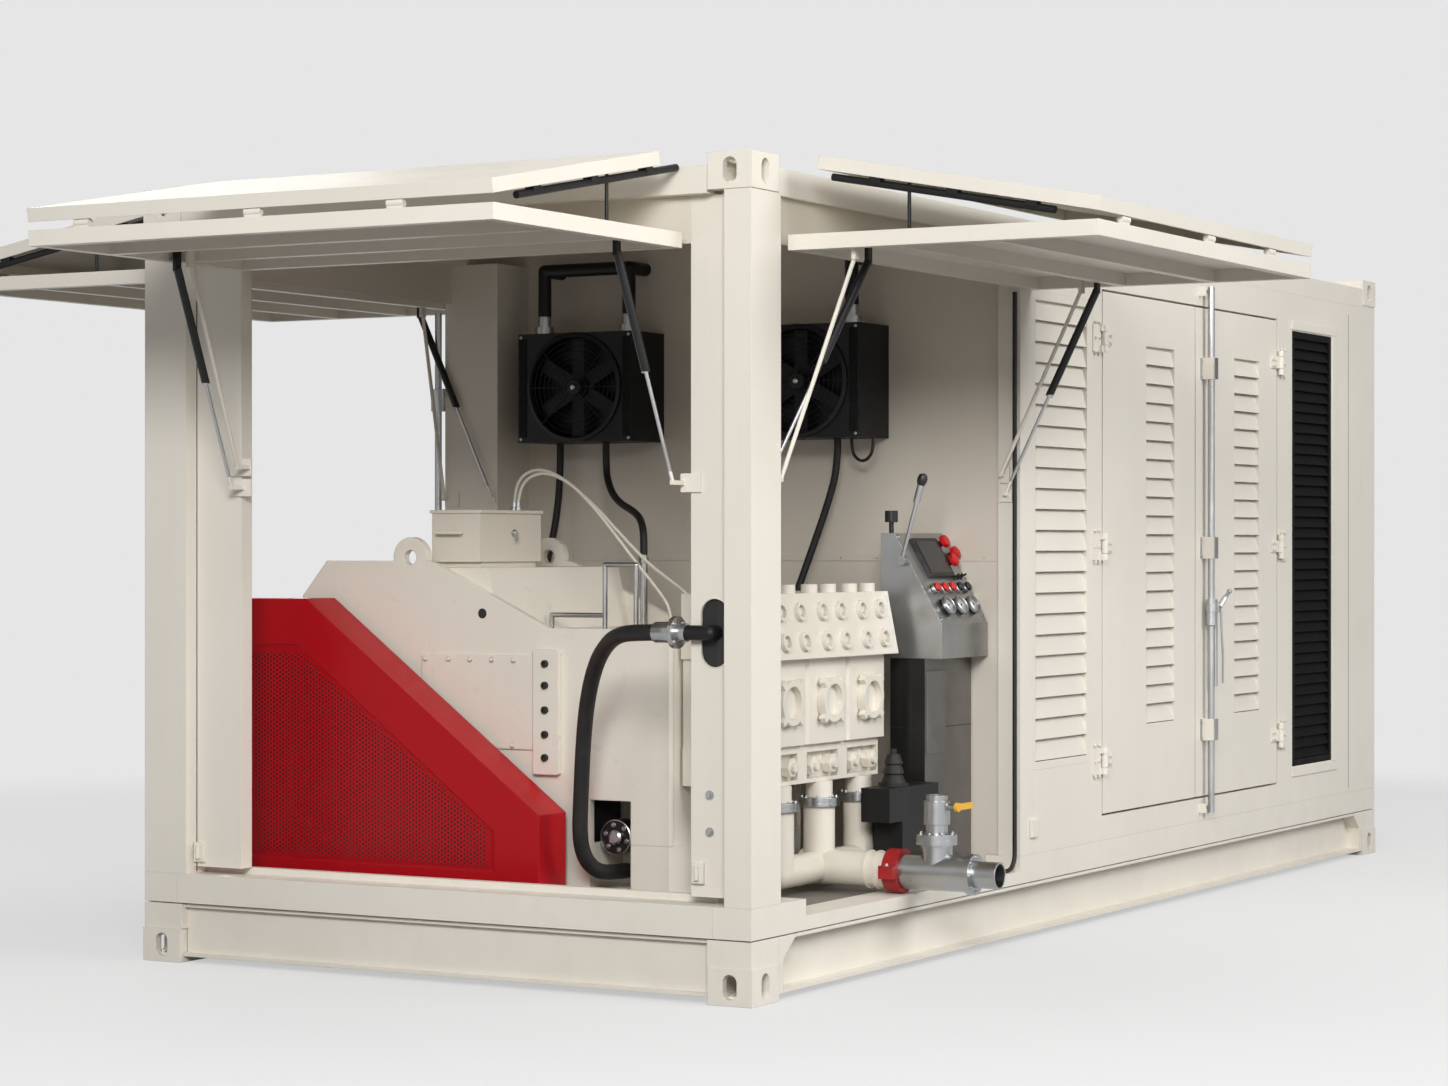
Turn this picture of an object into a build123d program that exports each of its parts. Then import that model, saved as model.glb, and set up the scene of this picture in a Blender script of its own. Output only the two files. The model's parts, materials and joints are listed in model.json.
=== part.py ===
from build123d import *
import os
from math import cos, hypot, radians, tan

# Containerised triplex grouting pump: a 20-foot frame with an open pump bay and an engine room.
# Millimetres. X runs along the container with the pump end at -X, the operator side is -Y, Z is up.
# The model is drawn about the centre of the footprint and moved at the end, so that the origin
# is the middle of the whole part's base, with its awnings open.

# Container
LENGTH = 6058
WIDTH = 2438
HEIGHT = 2700
X0 = -LENGTH / 2
X1 = LENGTH / 2
Y0 = -WIDTH / 2
Y1 = WIDTH / 2
CASTING = (178, 162, 118)
CASTING_WALL = 28
CASTING_SLOT = (51, 82)
CASTING_TOP_SLOT = (64, 116)
BASE_TOP = 205
FRAME_GAP = 4
RAIL_TOP = 310
BAY_SILL_TOP = 255
RAIL_DEPTH = 142
TOP_RAIL = (100, 88)
POST_X = 194
NEAR_POST_Y = 99
POST_Y = 183
SKIN = 6
ROOF_RIBS = 11
RIB_RISE = 14
FLOOR_TOP = 250
CAST_PROUD = 4

# Sub-base beams
BEAM_RECESS = 60
BEAM_WEB = 12
BEAM_FLANGE = 12
BEAM_BOTTOM = 21
GUSSET_REACH = 130
GUSSET_DROP = 75
CROSS_MEMBERS = 6
CROSS_WIDTH = 80

# Pump bay and engine room: the bay is measured from the pump end, the far posts from the other end
COLUMN = (X0 + 2029, X0 + 2134)
COLUMN_DEPTH = 90
FAR_COLUMN = (X0 + 1854, 250)
BULKHEAD_X = X0 + 2079
BULKHEAD_THICK = 8
NOTCH_END = X0 + 364
END_OPEN = (Y0 + 249, Y1 - 385)
JAMB_RECESS = 50
JAMB_THICK = 8
JAMB_RETURN = 60
PORT = (Y0 + 161, 1176, 100, 218)
SILL_LIP = (24, 30)

# Side wall of the engine room
WALL_THICK = 40
LOUVRE_WINDOW = (COLUMN[1], COLUMN[1] + 540, 620, HEIGHT - 300)
GRILLE_WINDOW = (X1 - 1130, X1 - 612, 472, HEIGHT - 291)
DOORWAY = (LOUVRE_WINDOW[1] + 115, GRILLE_WINDOW[0] - 189, 405, HEIGHT - 250)
REAR_WINDOW = (-600, 600, 620, HEIGHT - 500)
DOOR_GAP = 8
DOOR_MEET = (DOORWAY[0] + DOORWAY[1]) / 2 + 2
MEET_GAP = 10
DOOR_LOUVRE = (0.309, 742, HEIGHT - 448)
DOOR_LOUVRE_AT = (0.4575, 0.4635)
SLAT_COUNT = 20
FIXED_SLATS = 22
REAR_SLATS = 18
SLAT_THICK = 4
SLAT_DEPTH = 26
SLAT_RISE = 1.03
SLAT_LIFT = 3
SLAT_SET = 2
SLAT_LAP = 2
LOUVRE_FRAME = 30

# Hinges and lock bar
HINGE_OUT = 15
PIN_R = 7
KNUCKLE_R = 13
KNUCKLE_H = 52
KNUCKLE_GAP = 1
HINGE_Z = (621, 1450, DOORWAY[3] - 193)
STRAP = (90, 6)
LOCK_X = DOOR_MEET + 93
LOCK_OUT = 34
LOCK_R = 14
LOCK_Z = (345, HEIGHT - 170)
CAM_INSET = 20
HANDLE_Z = (868, 1130, 1230)
HANDLE_OUT = 46
COLUMN_BAR = (X0 + 1864, Y1 + 40, 336, HEIGHT - 315)
COLUMN_BAR_BRACKETS = (460, 1240, COLUMN_BAR[3] - 349)
GUIDE_Z = (690, 1445, LOCK_Z[1] - 340)
GUIDE_H = 90
GUIDE_HALF = 22
GUIDE_FIT = 0.4
HINGE_FIT = 0.3
CAM_REACH = 28
CAM_H = 14
KEEPER_CLEAR = 14

# Awnings: two leaves each, folded back on themselves
LEAF_THICK = 50
LEAF_BOTTOM = HEIGHT - 300
END_LEAF = (Y0 + 249, Y1 - 429)
END_REACH = 1086
SIDE_LEAF = (X0 + 229, X0 + 2129)
SIDE_REACH = 1081
HINGE_GAP = 6
HINGE_ARM = 60
HEADER_LAP = 20
UPPER_THICK = 44
UPPER_GAP = 26
UPPER_TILT = 10.5
END_UPPER_LEN = 960
SIDE_UPPER_LEN = 985
LEAF_RIB = 40
LEAF_SKIN = 6
LEAF_BAYS = 3
BARREL_R = 12
TOUCH = 0.3
PROP_R = 6
PROP_AT = (20, 424)
AWNING_BAR_R = 12
AWNING_BAR_START = 150
AWNING_BAR_DROP = 18

# Gas struts and stays: eye height under the leaf, then each top (X, Y) and foot (X, Y, Z)
EYE_Z = LEAF_BOTTOM - 20
STRUT_R = 14
STRUT_ROD_R = 6
STAY_R = 7
CYLINDER_SHARE = 0.52
LUG_THICK = 14
LUG_WIDE = 28
FOOT_PLATE = 8
FOOT_HALF = 30
END_NEAR_STRUT = ((X0 - 211, Y0 + 367), (X0 - 20, Y0 + 275, EYE_Z - 725))
END_FAR_STRUT = ((X0 - 428, Y1 - 491), (X0 - 20, Y1 - 398, EYE_Z - 725))
END_FAR_STAY = ((X0 - 519, Y1 - 620), (X0 - 20, Y1 - 423, EYE_Z - 655))
POST_STRUT = ((X0 + 511, Y0 - 151), (X0 + 214, Y0 + 19, EYE_Z - 637))
POST_STAY = ((X0 + 289, Y0 - 218), (X0 + 214, Y0 + 12, EYE_Z - 715))
COLUMN_STRUT = ((X0 + 1979, Y0 - 327), (X0 + 2007, Y0 + 51, EYE_Z - 735))
COLUMN_STAY = ((X0 + 1944, Y0 - 281), (X0 + 2007, Y0 + 69, EYE_Z - 665))
FAR_COLUMN_STRUT = ((X0 + 1832, Y1 + 106), (X0 + 1832, Y1 - 234, EYE_Z - 725))
FAR_COLUMN_STAY = ((X0 + 1799, Y1 + 71), (X0 + 1832, Y1 - 11, EYE_Z - 740))

# Pump
PUMP_X = (X0 + 589, X0 + 1529)
PLATE_THICK = 30
CRANK_Z = 1400
FRAME_Z = 1168
PUMP_BASE_Z = 430
CRANK_Y = (-84, 866)
FRAME_END_Y = -570
SERVICE_PORT = (-417, -252, 270, 579, 220)
LUG = (500, 1412, 72, 26)
CHAMFER = (108, 127)
CASING_INSET = 12
DECK_Z = 1156
CASING_TOP = 1376
HOUSING_Y = (140, 190)
MODULE_X = X0 + 1129
MODULE_PITCH = 300
MODULE_GAP = 8
FLUID_Y = (-893, -570)
MODULE_Z = (773, 1060)
UPPER_BLOCK = (1066, 1290, -935, -890)
LOWER_BLOCK = (632, 767)
COVER_R = 78
COVER_OUT = 30
COVER_LUG = (100, 26)
STUD_ROWS = (0.26, 0.72)
STUD_PITCH = 138
BOSS = (33, 22, 12)
BOSS_OUT = 16
NUT_POCKET = (230, 92, 26)
NUT_Z = 692
NUT = (36, 34, 18)
COVER_PLATE = (-30, 445, 744, 1071, 8)
SIDE_BAR = (-139, -34, 661, 1094, 25)
LUBE_BOX = (X0 + 729, X0 + 1129, 296, 503, 1396, 1570)
LUBE_LID = (6, 12)
LUBE_PIPE = (X0 + 929, -104, -233, 1206, 1386)
LUBE_PIPE_R = 9
RISER = (X0 + 1469, 60, 1420)
HUB = (-335, 450, 62, 36)
HUB_REACH = (110, 180)

# Belt guard
GUARD_X = (X0 + 379, X0 + 551)
GUARD_Y = (-179, Y1 - 69)
GUARD_Z = (262, 536, 1266)
GUARD_CORNER_Y = GUARD_Y[1] - 347
GUARD_SKIN = 8
GUARD_FIELD = ((GUARD_Y[1] - 85, 1100), (GUARD_Y[1] - 312, 1103), (5, 474), (5, 337), (GUARD_Y[1] - 97, 344))
GUARD_INSET = 3

# Suction line
SUCTION_Y = -860
SUCTION_Z = 334
PIPE_R = 62
PIPE_WALL = 6
NECK_R = 55
FLANGE_Z = 560
FLANGE_R = 70
COUPLING = (Y0 + 79, Y0 + 24, 76)
GROOVE_Y = (Y0 + 159, Y0 + 123)
TEE_Y = (Y0 + 24, Y0 - 221)
TEE_BRANCH_Y = TEE_Y[0] - 121
BRANCH_R = 38
BRANCH_NECK = (110, 96, 116)
VALVE_BODY = (50, 130)
VALVE_GRIP = 120
BRANCH_TOP = 600
VALVE_STEM_Z = 560
SHANK = (46, 90)

# Console
CONSOLE_X = (X0 + 1684, X0 + 2072)
PEDESTAL_Y = (Y0 + 221, Y0 + 361)
PEDESTAL_TOP = 1045
PANEL_TOP = (Y0 + 343, 1500)
PANEL_BOTTOM = (Y0 + 153, 1170)
HEAD_BACK_Y = Y0 + 399
LEVER_GAP = 24
LEVER_RISE = (60, 210, 20, 70)
LEVER_Z = 1400
SHIFT_BOX = (X0 + 1289, CONSOLE_X[0] - 5, Y0 + 164, Y0 + 277, 480, 600)
SHIFT_LEG = (100, 50)
BOOT_X = X0 + 1429
BOOT_FOLD = (34, 46, 30)
DISPLAY = (82, 284, 30, 190)
STOP_BUTTONS = ((322, 48), (362, 96), (318, 128))
BUTTON_ROW = (80, 145, 210, 275, 340)
ROW_V = 236
GAUGES = (100, 205, 310)
GAUGE_V = 312
BEACON = (CONSOLE_X[0] + 35, Y0 + 374, 1540)
SIDE_BOX = (CONSOLE_X[0], CONSOLE_X[0] + 145, PEDESTAL_Y[0] - 12, PEDESTAL_Y[0], 700, 1000)

# Coolers
COOLER_Y = (594, -393)
COOLER_SIZE = (250, 519, 426)
COOLER_Z = HEIGHT - 841
FAN_R = 197
FAN_GAP = 6
FAN_BLADES = 6
COOLANT_R = 26
CEILING_Z = HEIGHT - 160
HOSE_R = 14
BIG_HOSE_R = 30
LUBE_R = 6
SEAL_R = 8
SEAL_RUN = 240
SEAL_TURN = 60
FITTING_Y = (810, 420, -560)
FITTING_TOP = CEILING_Z - 180
FERRULE = 44
UNION_Y = Y0 + 293
NIPPLE_END = 84

# Hose routes, each point chosen by hand with the pump end's face at ROUTE_END
ROUTE_END = -3029
DISCHARGE_ROUTE = [(-2330, -336, 330), (-2420, -330, 330), (-2505, -318, 342), (-2565, -308, 392)]
DISCHARGE_ROUTE += [(-2592, -306, 470), (-2608, -322, 600), (-2640, -350, 767), (-2700, -403, 930)]
DISCHARGE_ROUTE += [(-2785, -490, 1062), (-2870, -590, 1136), (-2941, -680, 1166), (-2982, -766, 1174), (-3000, -856, 1176)]
COOLER_ROUTES = [
    [(-1000, 785, 1858.7), (-1000, 785, 1740), (-1012, 790, 1600), (-1045, 797, 1460), (-1095, 803, 1340)]
    + [(-1165, 805, 1240), (-1260, 805, 1180), (-1360, 805, 1150), (-1469.7, 805, 1150)],
    [(-1075, 525, 1858.7), (-1075, 525, 1790), (-1090, 512, 1720), (-1150, 450, 1655), (-1250, 350, 1615)]
    + [(-1370, 230, 1590), (-1475, 130, 1562), (-1540, 76, 1522), (-1560, 60, 1478), (-1560, 60, 1420.3)],
    [(-1075, -500, 1858.7), (-1075, -500, 1750), (-1082, -465, 1620), (-1100, -420, 1480), (-1130, -380, 1340)]
    + [(-1170, -350, 1210), (-1220, -338, 1090), (-1290, -335, 1000), (-1375, -335, 950), (-1469.7, -335, 950)],
]
LUBE_ROUTES = [
    [(-2000, 330, 1582.3), (-2000, 330, 1640), (-1992, 300, 1700), (-1965, 240, 1724), (-1930, 160, 1690)]
    + [(-1905, 70, 1600), (-1888, -20, 1490), (-1877, -110, 1380), (-1870, -190, 1290), (-1868, -240, 1222)]
    + [(-1868, -240, 1156.3)],
    [(-1950, 380, 1582.3), (-1950, 380, 1650), (-1940, 350, 1716), (-1912, 290, 1738), (-1875, 210, 1700)]
    + [(-1842, 110, 1610), (-1815, 0, 1490), (-1795, -110, 1380), (-1782, -230, 1300), (-1775, -310, 1228)]
    + [(-1775, -310, 1156.3)],
    [(-1075, -560, 1858.7), (-1075, -560, 1812), (-1075, -578, 1782), (-1075, -605, 1770), (-1075, -632, 1782)]
    + [(-1075, -650, 1812), (-1075, -650, 1858.7)],
]

FRAME_Z0 = BASE_TOP + FRAME_GAP
TOP_RAIL_TOP = HEIGHT - 40
TOP_RAIL_Z = TOP_RAIL_TOP - TOP_RAIL[1]
POST_TOP = HEIGHT - CASTING[2]
SHIFT = (END_REACH / 2, 0, 0)
LEAF_UNDER = LEAF_BOTTOM + LEAF_THICK - LEAF_SKIN


def block(x0, x1, y0, y1, z0, z1):
    """A box between two corners, given as its limits."""
    centre = ((x0 + x1) / 2, (y0 + y1) / 2, (z0 + z1) / 2)
    return Pos(*centre) * Box(x1 - x0, y1 - y0, z1 - z0)


def bar(a, b, r):
    """A round bar from point a to point b."""
    along = Vector(*b) - Vector(*a)
    start = Plane(origin=a, z_dir=along)
    return start * Cylinder(r, along.length, align=(Align.CENTER, Align.CENTER, Align.MIN))


def tube(a, b, r, wall):
    """A round pipe from a to b, open at both ends."""
    return bar(a, b, r) - bar(a, b, r - wall)


def from_end(route):
    """A hose route's points, moved with the pump end's face."""
    return [(x - ROUTE_END + X0, y, z) for x, y, z in route]


def discharge_end():
    """The discharge hose's last point and its direction there."""
    before, end = [Vector(*point) for point in from_end(DISCHARGE_ROUTE)[-2:]]
    return end, (end - before).normalized()


def hose(route, r):
    """A hose along straight runs joined by arcs as large as the runs allow."""
    points = from_end(route)
    legs = [Vector(*q) - Vector(*p) for p, q in zip(points, points[1:])]
    radii = []
    for before, after in zip(legs, legs[1:]):
        half_turn = radians(before.get_angle(after)) / 2
        radii.append(0.45 * min(before.length, after.length) / tan(half_turn))
    path = FilletPolyline(*points, radius=radii)
    print("hose radii", [round(value) for value in radii], "length", round(path.length))
    section = Plane(origin=path @ 0, z_dir=path % 0) * Circle(r)
    return sweep(section, path=path)


def far(shape):
    """The same piece on the far side."""
    return mirror(shape, about=Plane.XZ)


def save(name, *solids):
    """Write one node's solids, moved to the part's own origin."""
    moved = [Pos(*SHIFT) * s for shape in solids for s in shape.solids()]
    whole = moved[0] if len(moved) == 1 else Compound(children=moved)
    export_step(whole, f"parts/{name}.step")


def yz_plate(points, x0, x1):
    """A plate with its outline given in Y and Z, between two X values."""
    outline = make_face(Polyline(*[(x0, y, z) for y, z in points], close=True))
    return extrude(outline, amount=x1 - x0, dir=(1, 0, 0))


def xz_plate(points, y0, y1):
    """A plate with its outline given in X and Z, between two Y values."""
    outline = make_face(Polyline(*[(x, y0, z) for x, z in points], close=True))
    return extrude(outline, amount=y1 - y0, dir=(0, 1, 0))


# Sub-base
def slot_through(centre, size, depth, normal):
    """A rounded slot cutter, upright on a side face, along X on a top face."""
    turn = 0 if normal == "z" else 90
    plane = {"x": Plane.YZ, "y": Plane.XZ, "z": Plane.XY}[normal]
    face = plane * (Rot(0, 0, turn) * SlotOverall(size[1], size[0]))
    cutter = extrude(face, amount=depth / 2, both=True)
    return Pos(*centre) * cutter


def casting(top):
    """One hollow corner casting, drawn for the near pump-end corner at ground level."""
    length, width, height = CASTING
    wall = CASTING_WALL
    x0 = X0 - CAST_PROUD
    y0 = Y0 - CAST_PROUD
    body = block(x0, x0 + length, y0, y0 + width, 0, height)
    body -= block(x0 + wall, x0 + length - wall, y0 + wall, y0 + width - wall, wall, height - wall)
    middle = (x0 + length / 2, y0 + width / 2, height / 2)
    body -= slot_through((x0 + wall / 2, middle[1], middle[2]), CASTING_SLOT, wall + 4, "x")
    body -= slot_through((middle[0], y0 + wall / 2, middle[2]), CASTING_SLOT, wall + 4, "y")
    mouth_z = height - wall / 2 if top else wall / 2
    body -= slot_through((middle[0], middle[1], mouth_z), CASTING_TOP_SLOT, wall + 4, "z")
    return Pos(0, 0, HEIGHT - height) * body if top else body


def four_corners(piece):
    """A piece drawn at the near pump-end corner, repeated at all four."""
    rear = mirror(piece, about=Plane.YZ)
    return [piece, rear, far(piece), far(rear)]


def side_beam():
    """A channel beam between the corners, with its end gussets and corner blocks."""
    y0 = Y0
    web = y0 + BEAM_RECESS
    low = BEAM_BOTTOM
    top = BASE_TOP
    end = X0 + CASTING[0]
    beam = block(end, -end, web, web + BEAM_WEB, low, top)
    beam += block(end, -end, y0 + 4, web + BEAM_WEB, top - BEAM_FLANGE, top)
    beam += block(end, -end, y0 + 4, web + BEAM_WEB, low, low + BEAM_FLANGE)
    outline = [(end, low), (end + 36, low), (end + 36, top - GUSSET_DROP)]
    outline += [(end + GUSSET_REACH, top), (end, top)]
    gusset = xz_plate(outline, y0 + 2, web)
    beam += gusset + mirror(gusset, about=Plane.YZ)
    corner = block(X0, end, y0, y0 + CASTING[1], CASTING[2], top)
    beam += corner + mirror(corner, about=Plane.YZ)
    return beam


def end_beam():
    """The recessed beam across the pump end, between the corners."""
    y = WIDTH / 2 - CASTING[1]
    web = X0 + 36
    beam = block(web, web + BEAM_WEB, -y, y, BEAM_BOTTOM, BASE_TOP)
    beam += block(web - 20, web + BEAM_WEB, -y, y, BASE_TOP - BEAM_FLANGE, BASE_TOP)
    beam += block(web - 20, web + BEAM_WEB, -y, y, BEAM_BOTTOM, BEAM_BOTTOM + BEAM_FLANGE)
    return beam


def cross_members():
    """Floor bearers between the side beams."""
    reach = WIDTH / 2 - BEAM_RECESS - BEAM_WEB
    pitch = (LENGTH - 2 * CASTING[0]) / (CROSS_MEMBERS + 1)
    members = []
    for i in range(CROSS_MEMBERS):
        x = X0 + CASTING[0] + pitch * (i + 1)
        members.append(block(x - CROSS_WIDTH / 2, x + CROSS_WIDTH / 2, -reach, reach, 60, FRAME_Z0))
    return members


# Main frame
def side_rail():
    """The near bottom side rail, lower across the pump bay."""
    rail = block(X0, X1, Y0, Y0 + RAIL_DEPTH, FRAME_Z0, RAIL_TOP)
    rail -= block(NOTCH_END, COLUMN[0], Y0, Y0 + RAIL_DEPTH, BAY_SILL_TOP, RAIL_TOP)
    return rail


def end_rail():
    """The bottom rail across the pump end, with the lip of its sill."""
    reach = WIDTH / 2 - RAIL_DEPTH
    rail = block(X0, X0 + RAIL_DEPTH, -reach, reach, FRAME_Z0, RAIL_TOP)
    inner = WIDTH / 2 - POST_Y
    x = X0 + RAIL_DEPTH
    return rail + block(x - SILL_LIP[1], x, -inner, inner, RAIL_TOP, RAIL_TOP + SILL_LIP[0])


def top_side_rail():
    """The near top side rail between its castings."""
    x = LENGTH / 2 - CASTING[0]
    return block(-x, x, Y0, Y0 + TOP_RAIL[0], TOP_RAIL_Z, TOP_RAIL_TOP)


def top_end_rail():
    """The top rail across the pump end."""
    y = WIDTH / 2 - CASTING[1]
    return block(X0, X0 + TOP_RAIL[0], -y, y, TOP_RAIL_Z, TOP_RAIL_TOP)


def posts():
    """The four corner posts. The one beside the operator at the pump end is narrower."""
    near = block(X0, X0 + POST_X, Y0, Y0 + NEAR_POST_Y, RAIL_TOP, TOP_RAIL_Z)
    near += block(X0, X0 + CASTING[0], Y0, Y0 + NEAR_POST_Y, TOP_RAIL_Z, POST_TOP)
    wide = block(X0, X0 + POST_X, Y0, Y0 + POST_Y, RAIL_TOP, TOP_RAIL_Z)
    wide += block(X0, X0 + CASTING[0], Y0, Y0 + CASTING[1], TOP_RAIL_Z, POST_TOP)
    rear = mirror(wide, about=Plane.YZ)
    return [near, rear, far(wide), far(rear)]


def jambs():
    """Recessed jamb plates beside the end opening, with the hose port, and the far one."""
    x = X0 + JAMB_RECESS
    top = TOP_RAIL_Z
    near = block(x, x + JAMB_THICK, Y0 + NEAR_POST_Y, END_OPEN[0], RAIL_TOP + SILL_LIP[0], top)
    near += block(x, x + JAMB_RETURN, END_OPEN[0] - JAMB_THICK, END_OPEN[0], RAIL_TOP + SILL_LIP[0], top)
    y, z, wide, tall = PORT
    near -= slot_through((x, y, z), (wide, tall), 60, "x")
    other = block(x, x + JAMB_THICK, END_OPEN[1], Y1 - POST_Y, RAIL_TOP + SILL_LIP[0], top)
    other += block(x, x + JAMB_RETURN, END_OPEN[1], END_OPEN[1] + JAMB_THICK, RAIL_TOP + SILL_LIP[0], top)
    return [near, other]


def columns():
    """The slim near column and the wide far one between the pump bay and the engine room."""
    near = block(COLUMN[0], COLUMN[1], Y0, Y0 + COLUMN_DEPTH, RAIL_TOP, TOP_RAIL_Z)
    other = block(FAR_COLUMN[0], BULKHEAD_X, Y1 - FAR_COLUMN[1], Y1, RAIL_TOP, TOP_RAIL_Z)
    return [near, other + block(BULKHEAD_X, COLUMN[1], Y1 - COLUMN_DEPTH, Y1, RAIL_TOP, TOP_RAIL_Z)]


def bulkhead():
    """The steel wall between pump bay and engine room."""
    x0 = BULKHEAD_X
    x1 = x0 + BULKHEAD_THICK
    rail = WIDTH / 2 - RAIL_DEPTH
    side = WIDTH / 2 - COLUMN_DEPTH
    high = WIDTH / 2 - TOP_RAIL[0]
    wall = block(x0, x1, -rail, rail, FLOOR_TOP, RAIL_TOP)
    wall += block(x0, x1, -side, side, RAIL_TOP, TOP_RAIL_Z)
    return wall + block(x0, x1, -high, high, TOP_RAIL_Z, TOP_RAIL_TOP)


def header_panels():
    """Recessed panels over the end opening and the two bay openings."""
    low = LEAF_BOTTOM + HEADER_LAP
    x = X0 + JAMB_RECESS
    end = block(x, x + JAMB_THICK, END_OPEN[0], END_OPEN[1], low, TOP_RAIL_Z)
    y = Y0 + HEADER_LAP
    near = block(X0 + POST_X, COLUMN[0], y, y + JAMB_THICK, low, TOP_RAIL_Z)
    other = block(X0 + POST_X, FAR_COLUMN[0], -y - JAMB_THICK, -y, low, TOP_RAIL_Z)
    return [end, near, other]


def floor_plate():
    """The deck plate on the bearers."""
    x = LENGTH / 2 - RAIL_DEPTH
    y = WIDTH / 2 - RAIL_DEPTH
    return block(-x, x, -y, y, FRAME_Z0, FLOOR_TOP)


def roof():
    """The roof skin over the rails, clear of the castings."""
    x = LENGTH / 2 - CASTING[0] - 6
    y = WIDTH / 2 - CASTING[1] - 6
    skin = block(-x, x, -Y1 + 40, Y1 - 40, TOP_RAIL_TOP, TOP_RAIL_TOP + SKIN)
    skin += block(X0 + 40, X1 - 40, -y, y, TOP_RAIL_TOP, TOP_RAIL_TOP + SKIN)
    pitch = 2 * x / ROOF_RIBS
    for i in range(ROOF_RIBS):
        middle = -x + pitch * (i + 0.5)
        low = TOP_RAIL_TOP + SKIN
        outline = [(middle - 70, low), (middle - 50, low + RIB_RISE), (middle + 50, low + RIB_RISE), (middle + 70, low)]
        skin += xz_plate(outline, -y, y)
    return skin


# Engine room walls
def side_wall():
    """Piers, heads and sills of the near engine-room wall."""
    y0, y1 = Y0, Y0 + WALL_THICK
    marks = [LOUVRE_WINDOW[1], DOORWAY[0], DOORWAY[1], GRILLE_WINDOW[0], GRILLE_WINDOW[1], X1 - POST_X]
    piers = []
    for a, b in zip(marks[0::2], marks[1::2]):
        piers.append(block(a, b, y0, y1, RAIL_TOP, TOP_RAIL_Z))
    heads = []
    sills = []
    for x0, x1, z0, z1 in (LOUVRE_WINDOW, DOORWAY, GRILLE_WINDOW):
        heads.append(block(x0, x1, y0, y1, z1, TOP_RAIL_Z))
        sills.append(block(x0, x1, y0, y1, RAIL_TOP, z0))
    return piers, heads, sills


def rear_wall():
    """Piers, head and sill of the rear wall between its posts."""
    x1 = X1 - 10
    x0 = x1 - WALL_THICK
    y = WIDTH / 2 - POST_Y
    a, b, z0, z1 = REAR_WINDOW
    piers = [block(x0, x1, -y, a, RAIL_TOP, TOP_RAIL_Z), block(x0, x1, b, y, RAIL_TOP, TOP_RAIL_Z)]
    return piers, [block(x0, x1, a, b, z1, TOP_RAIL_Z)], [block(x0, x1, a, b, RAIL_TOP, z0)]


def louvre_panel(width, height, slats):
    """A framed louvre panel in the XZ plane, from its lower left corner, its front face at Y 0."""
    frame = block(0, width, 0, WALL_THICK - 10, 0, height)
    frame -= block(LOUVRE_FRAME, width - LOUVRE_FRAME, -1, WALL_THICK, LOUVRE_FRAME, height - LOUVRE_FRAME)
    pitch = (height - 2 * LOUVRE_FRAME) / slats
    rise = pitch * SLAT_RISE
    for i in range(slats):
        z = LOUVRE_FRAME + pitch * i + SLAT_LIFT
        outline = [(SLAT_SET, z), (SLAT_SET + SLAT_THICK, z), (SLAT_DEPTH, z + rise), (SLAT_DEPTH - SLAT_THICK, z + rise)]
        frame += yz_plate(outline, LOUVRE_FRAME - SLAT_LAP, width - LOUVRE_FRAME + SLAT_LAP)
    return frame


def fixed_louvres():
    """The near fixed louvre panel in its window."""
    x0, x1, z0, z1 = LOUVRE_WINDOW
    return Pos(x0, Y0, z0) * louvre_panel(x1 - x0, z1 - z0, FIXED_SLATS)


def rear_louvres():
    """The louvre panel of the rear wall."""
    a, b, z0, z1 = REAR_WINDOW
    panel = louvre_panel(b - a, z1 - z0, REAR_SLATS)
    return Pos(X1 - 10, a, z0) * (Rot(0, 0, 90) * panel)


def radiator_grille():
    """The black slatted window near the rear post."""
    x0, x1, z0, z1 = GRILLE_WINDOW
    return Pos(x0, Y0, z0) * louvre_panel(x1 - x0, z1 - z0, 2 * SLAT_COUNT)


def door_leaf(x0, x1, share):
    """A door leaf with its louvre field cut through and slatted, starting at a share of its width."""
    z0 = DOORWAY[2] + DOOR_GAP
    z1 = DOORWAY[3] - DOOR_GAP
    leaf = block(x0, x1, Y0, Y0 + WALL_THICK, z0, z1)
    field, bottom, top = DOOR_LOUVRE
    a = x0 + share * (x1 - x0)
    b = a + field * (x1 - x0)
    leaf -= block(a, b, Y0 - 1, Y0 + WALL_THICK + 1, bottom, top)
    pitch = (top - bottom) / SLAT_COUNT
    back = Y0 + SLAT_DEPTH
    for i in range(SLAT_COUNT):
        low = bottom + pitch * i + SLAT_LIFT
        high = low + pitch * SLAT_RISE
        outline = [(Y0, low), (Y0 + SLAT_THICK, low), (back, high), (back - SLAT_THICK, high)]
        leaf += yz_plate(outline, a - SLAT_LAP, b + SLAT_LAP)
    return leaf


def door_hinges(x, side):
    """The door's middle knuckles on their straps. Side is 1 where the door lies at +X of the pin."""
    y = Y0 - HINGE_OUT
    half = KNUCKLE_H / 2
    made = []
    for z in HINGE_Z:
        piece = bar((x, y, z - half), (x, y, z + half), KNUCKLE_R)
        reach = sorted((x, x + side * 30))
        piece += block(*reach, y, Y0 - 0.01, z - half, z + half)
        strap = sorted((x + side * 12, x + side * STRAP[0]))
        piece += block(*strap, Y0 - STRAP[1], Y0, z - half, z + half)
        piece -= bar((x, y, z - KNUCKLE_H), (x, y, z + KNUCKLE_H), PIN_R + HINGE_FIT)
        made.append(piece)
    return made


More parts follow.
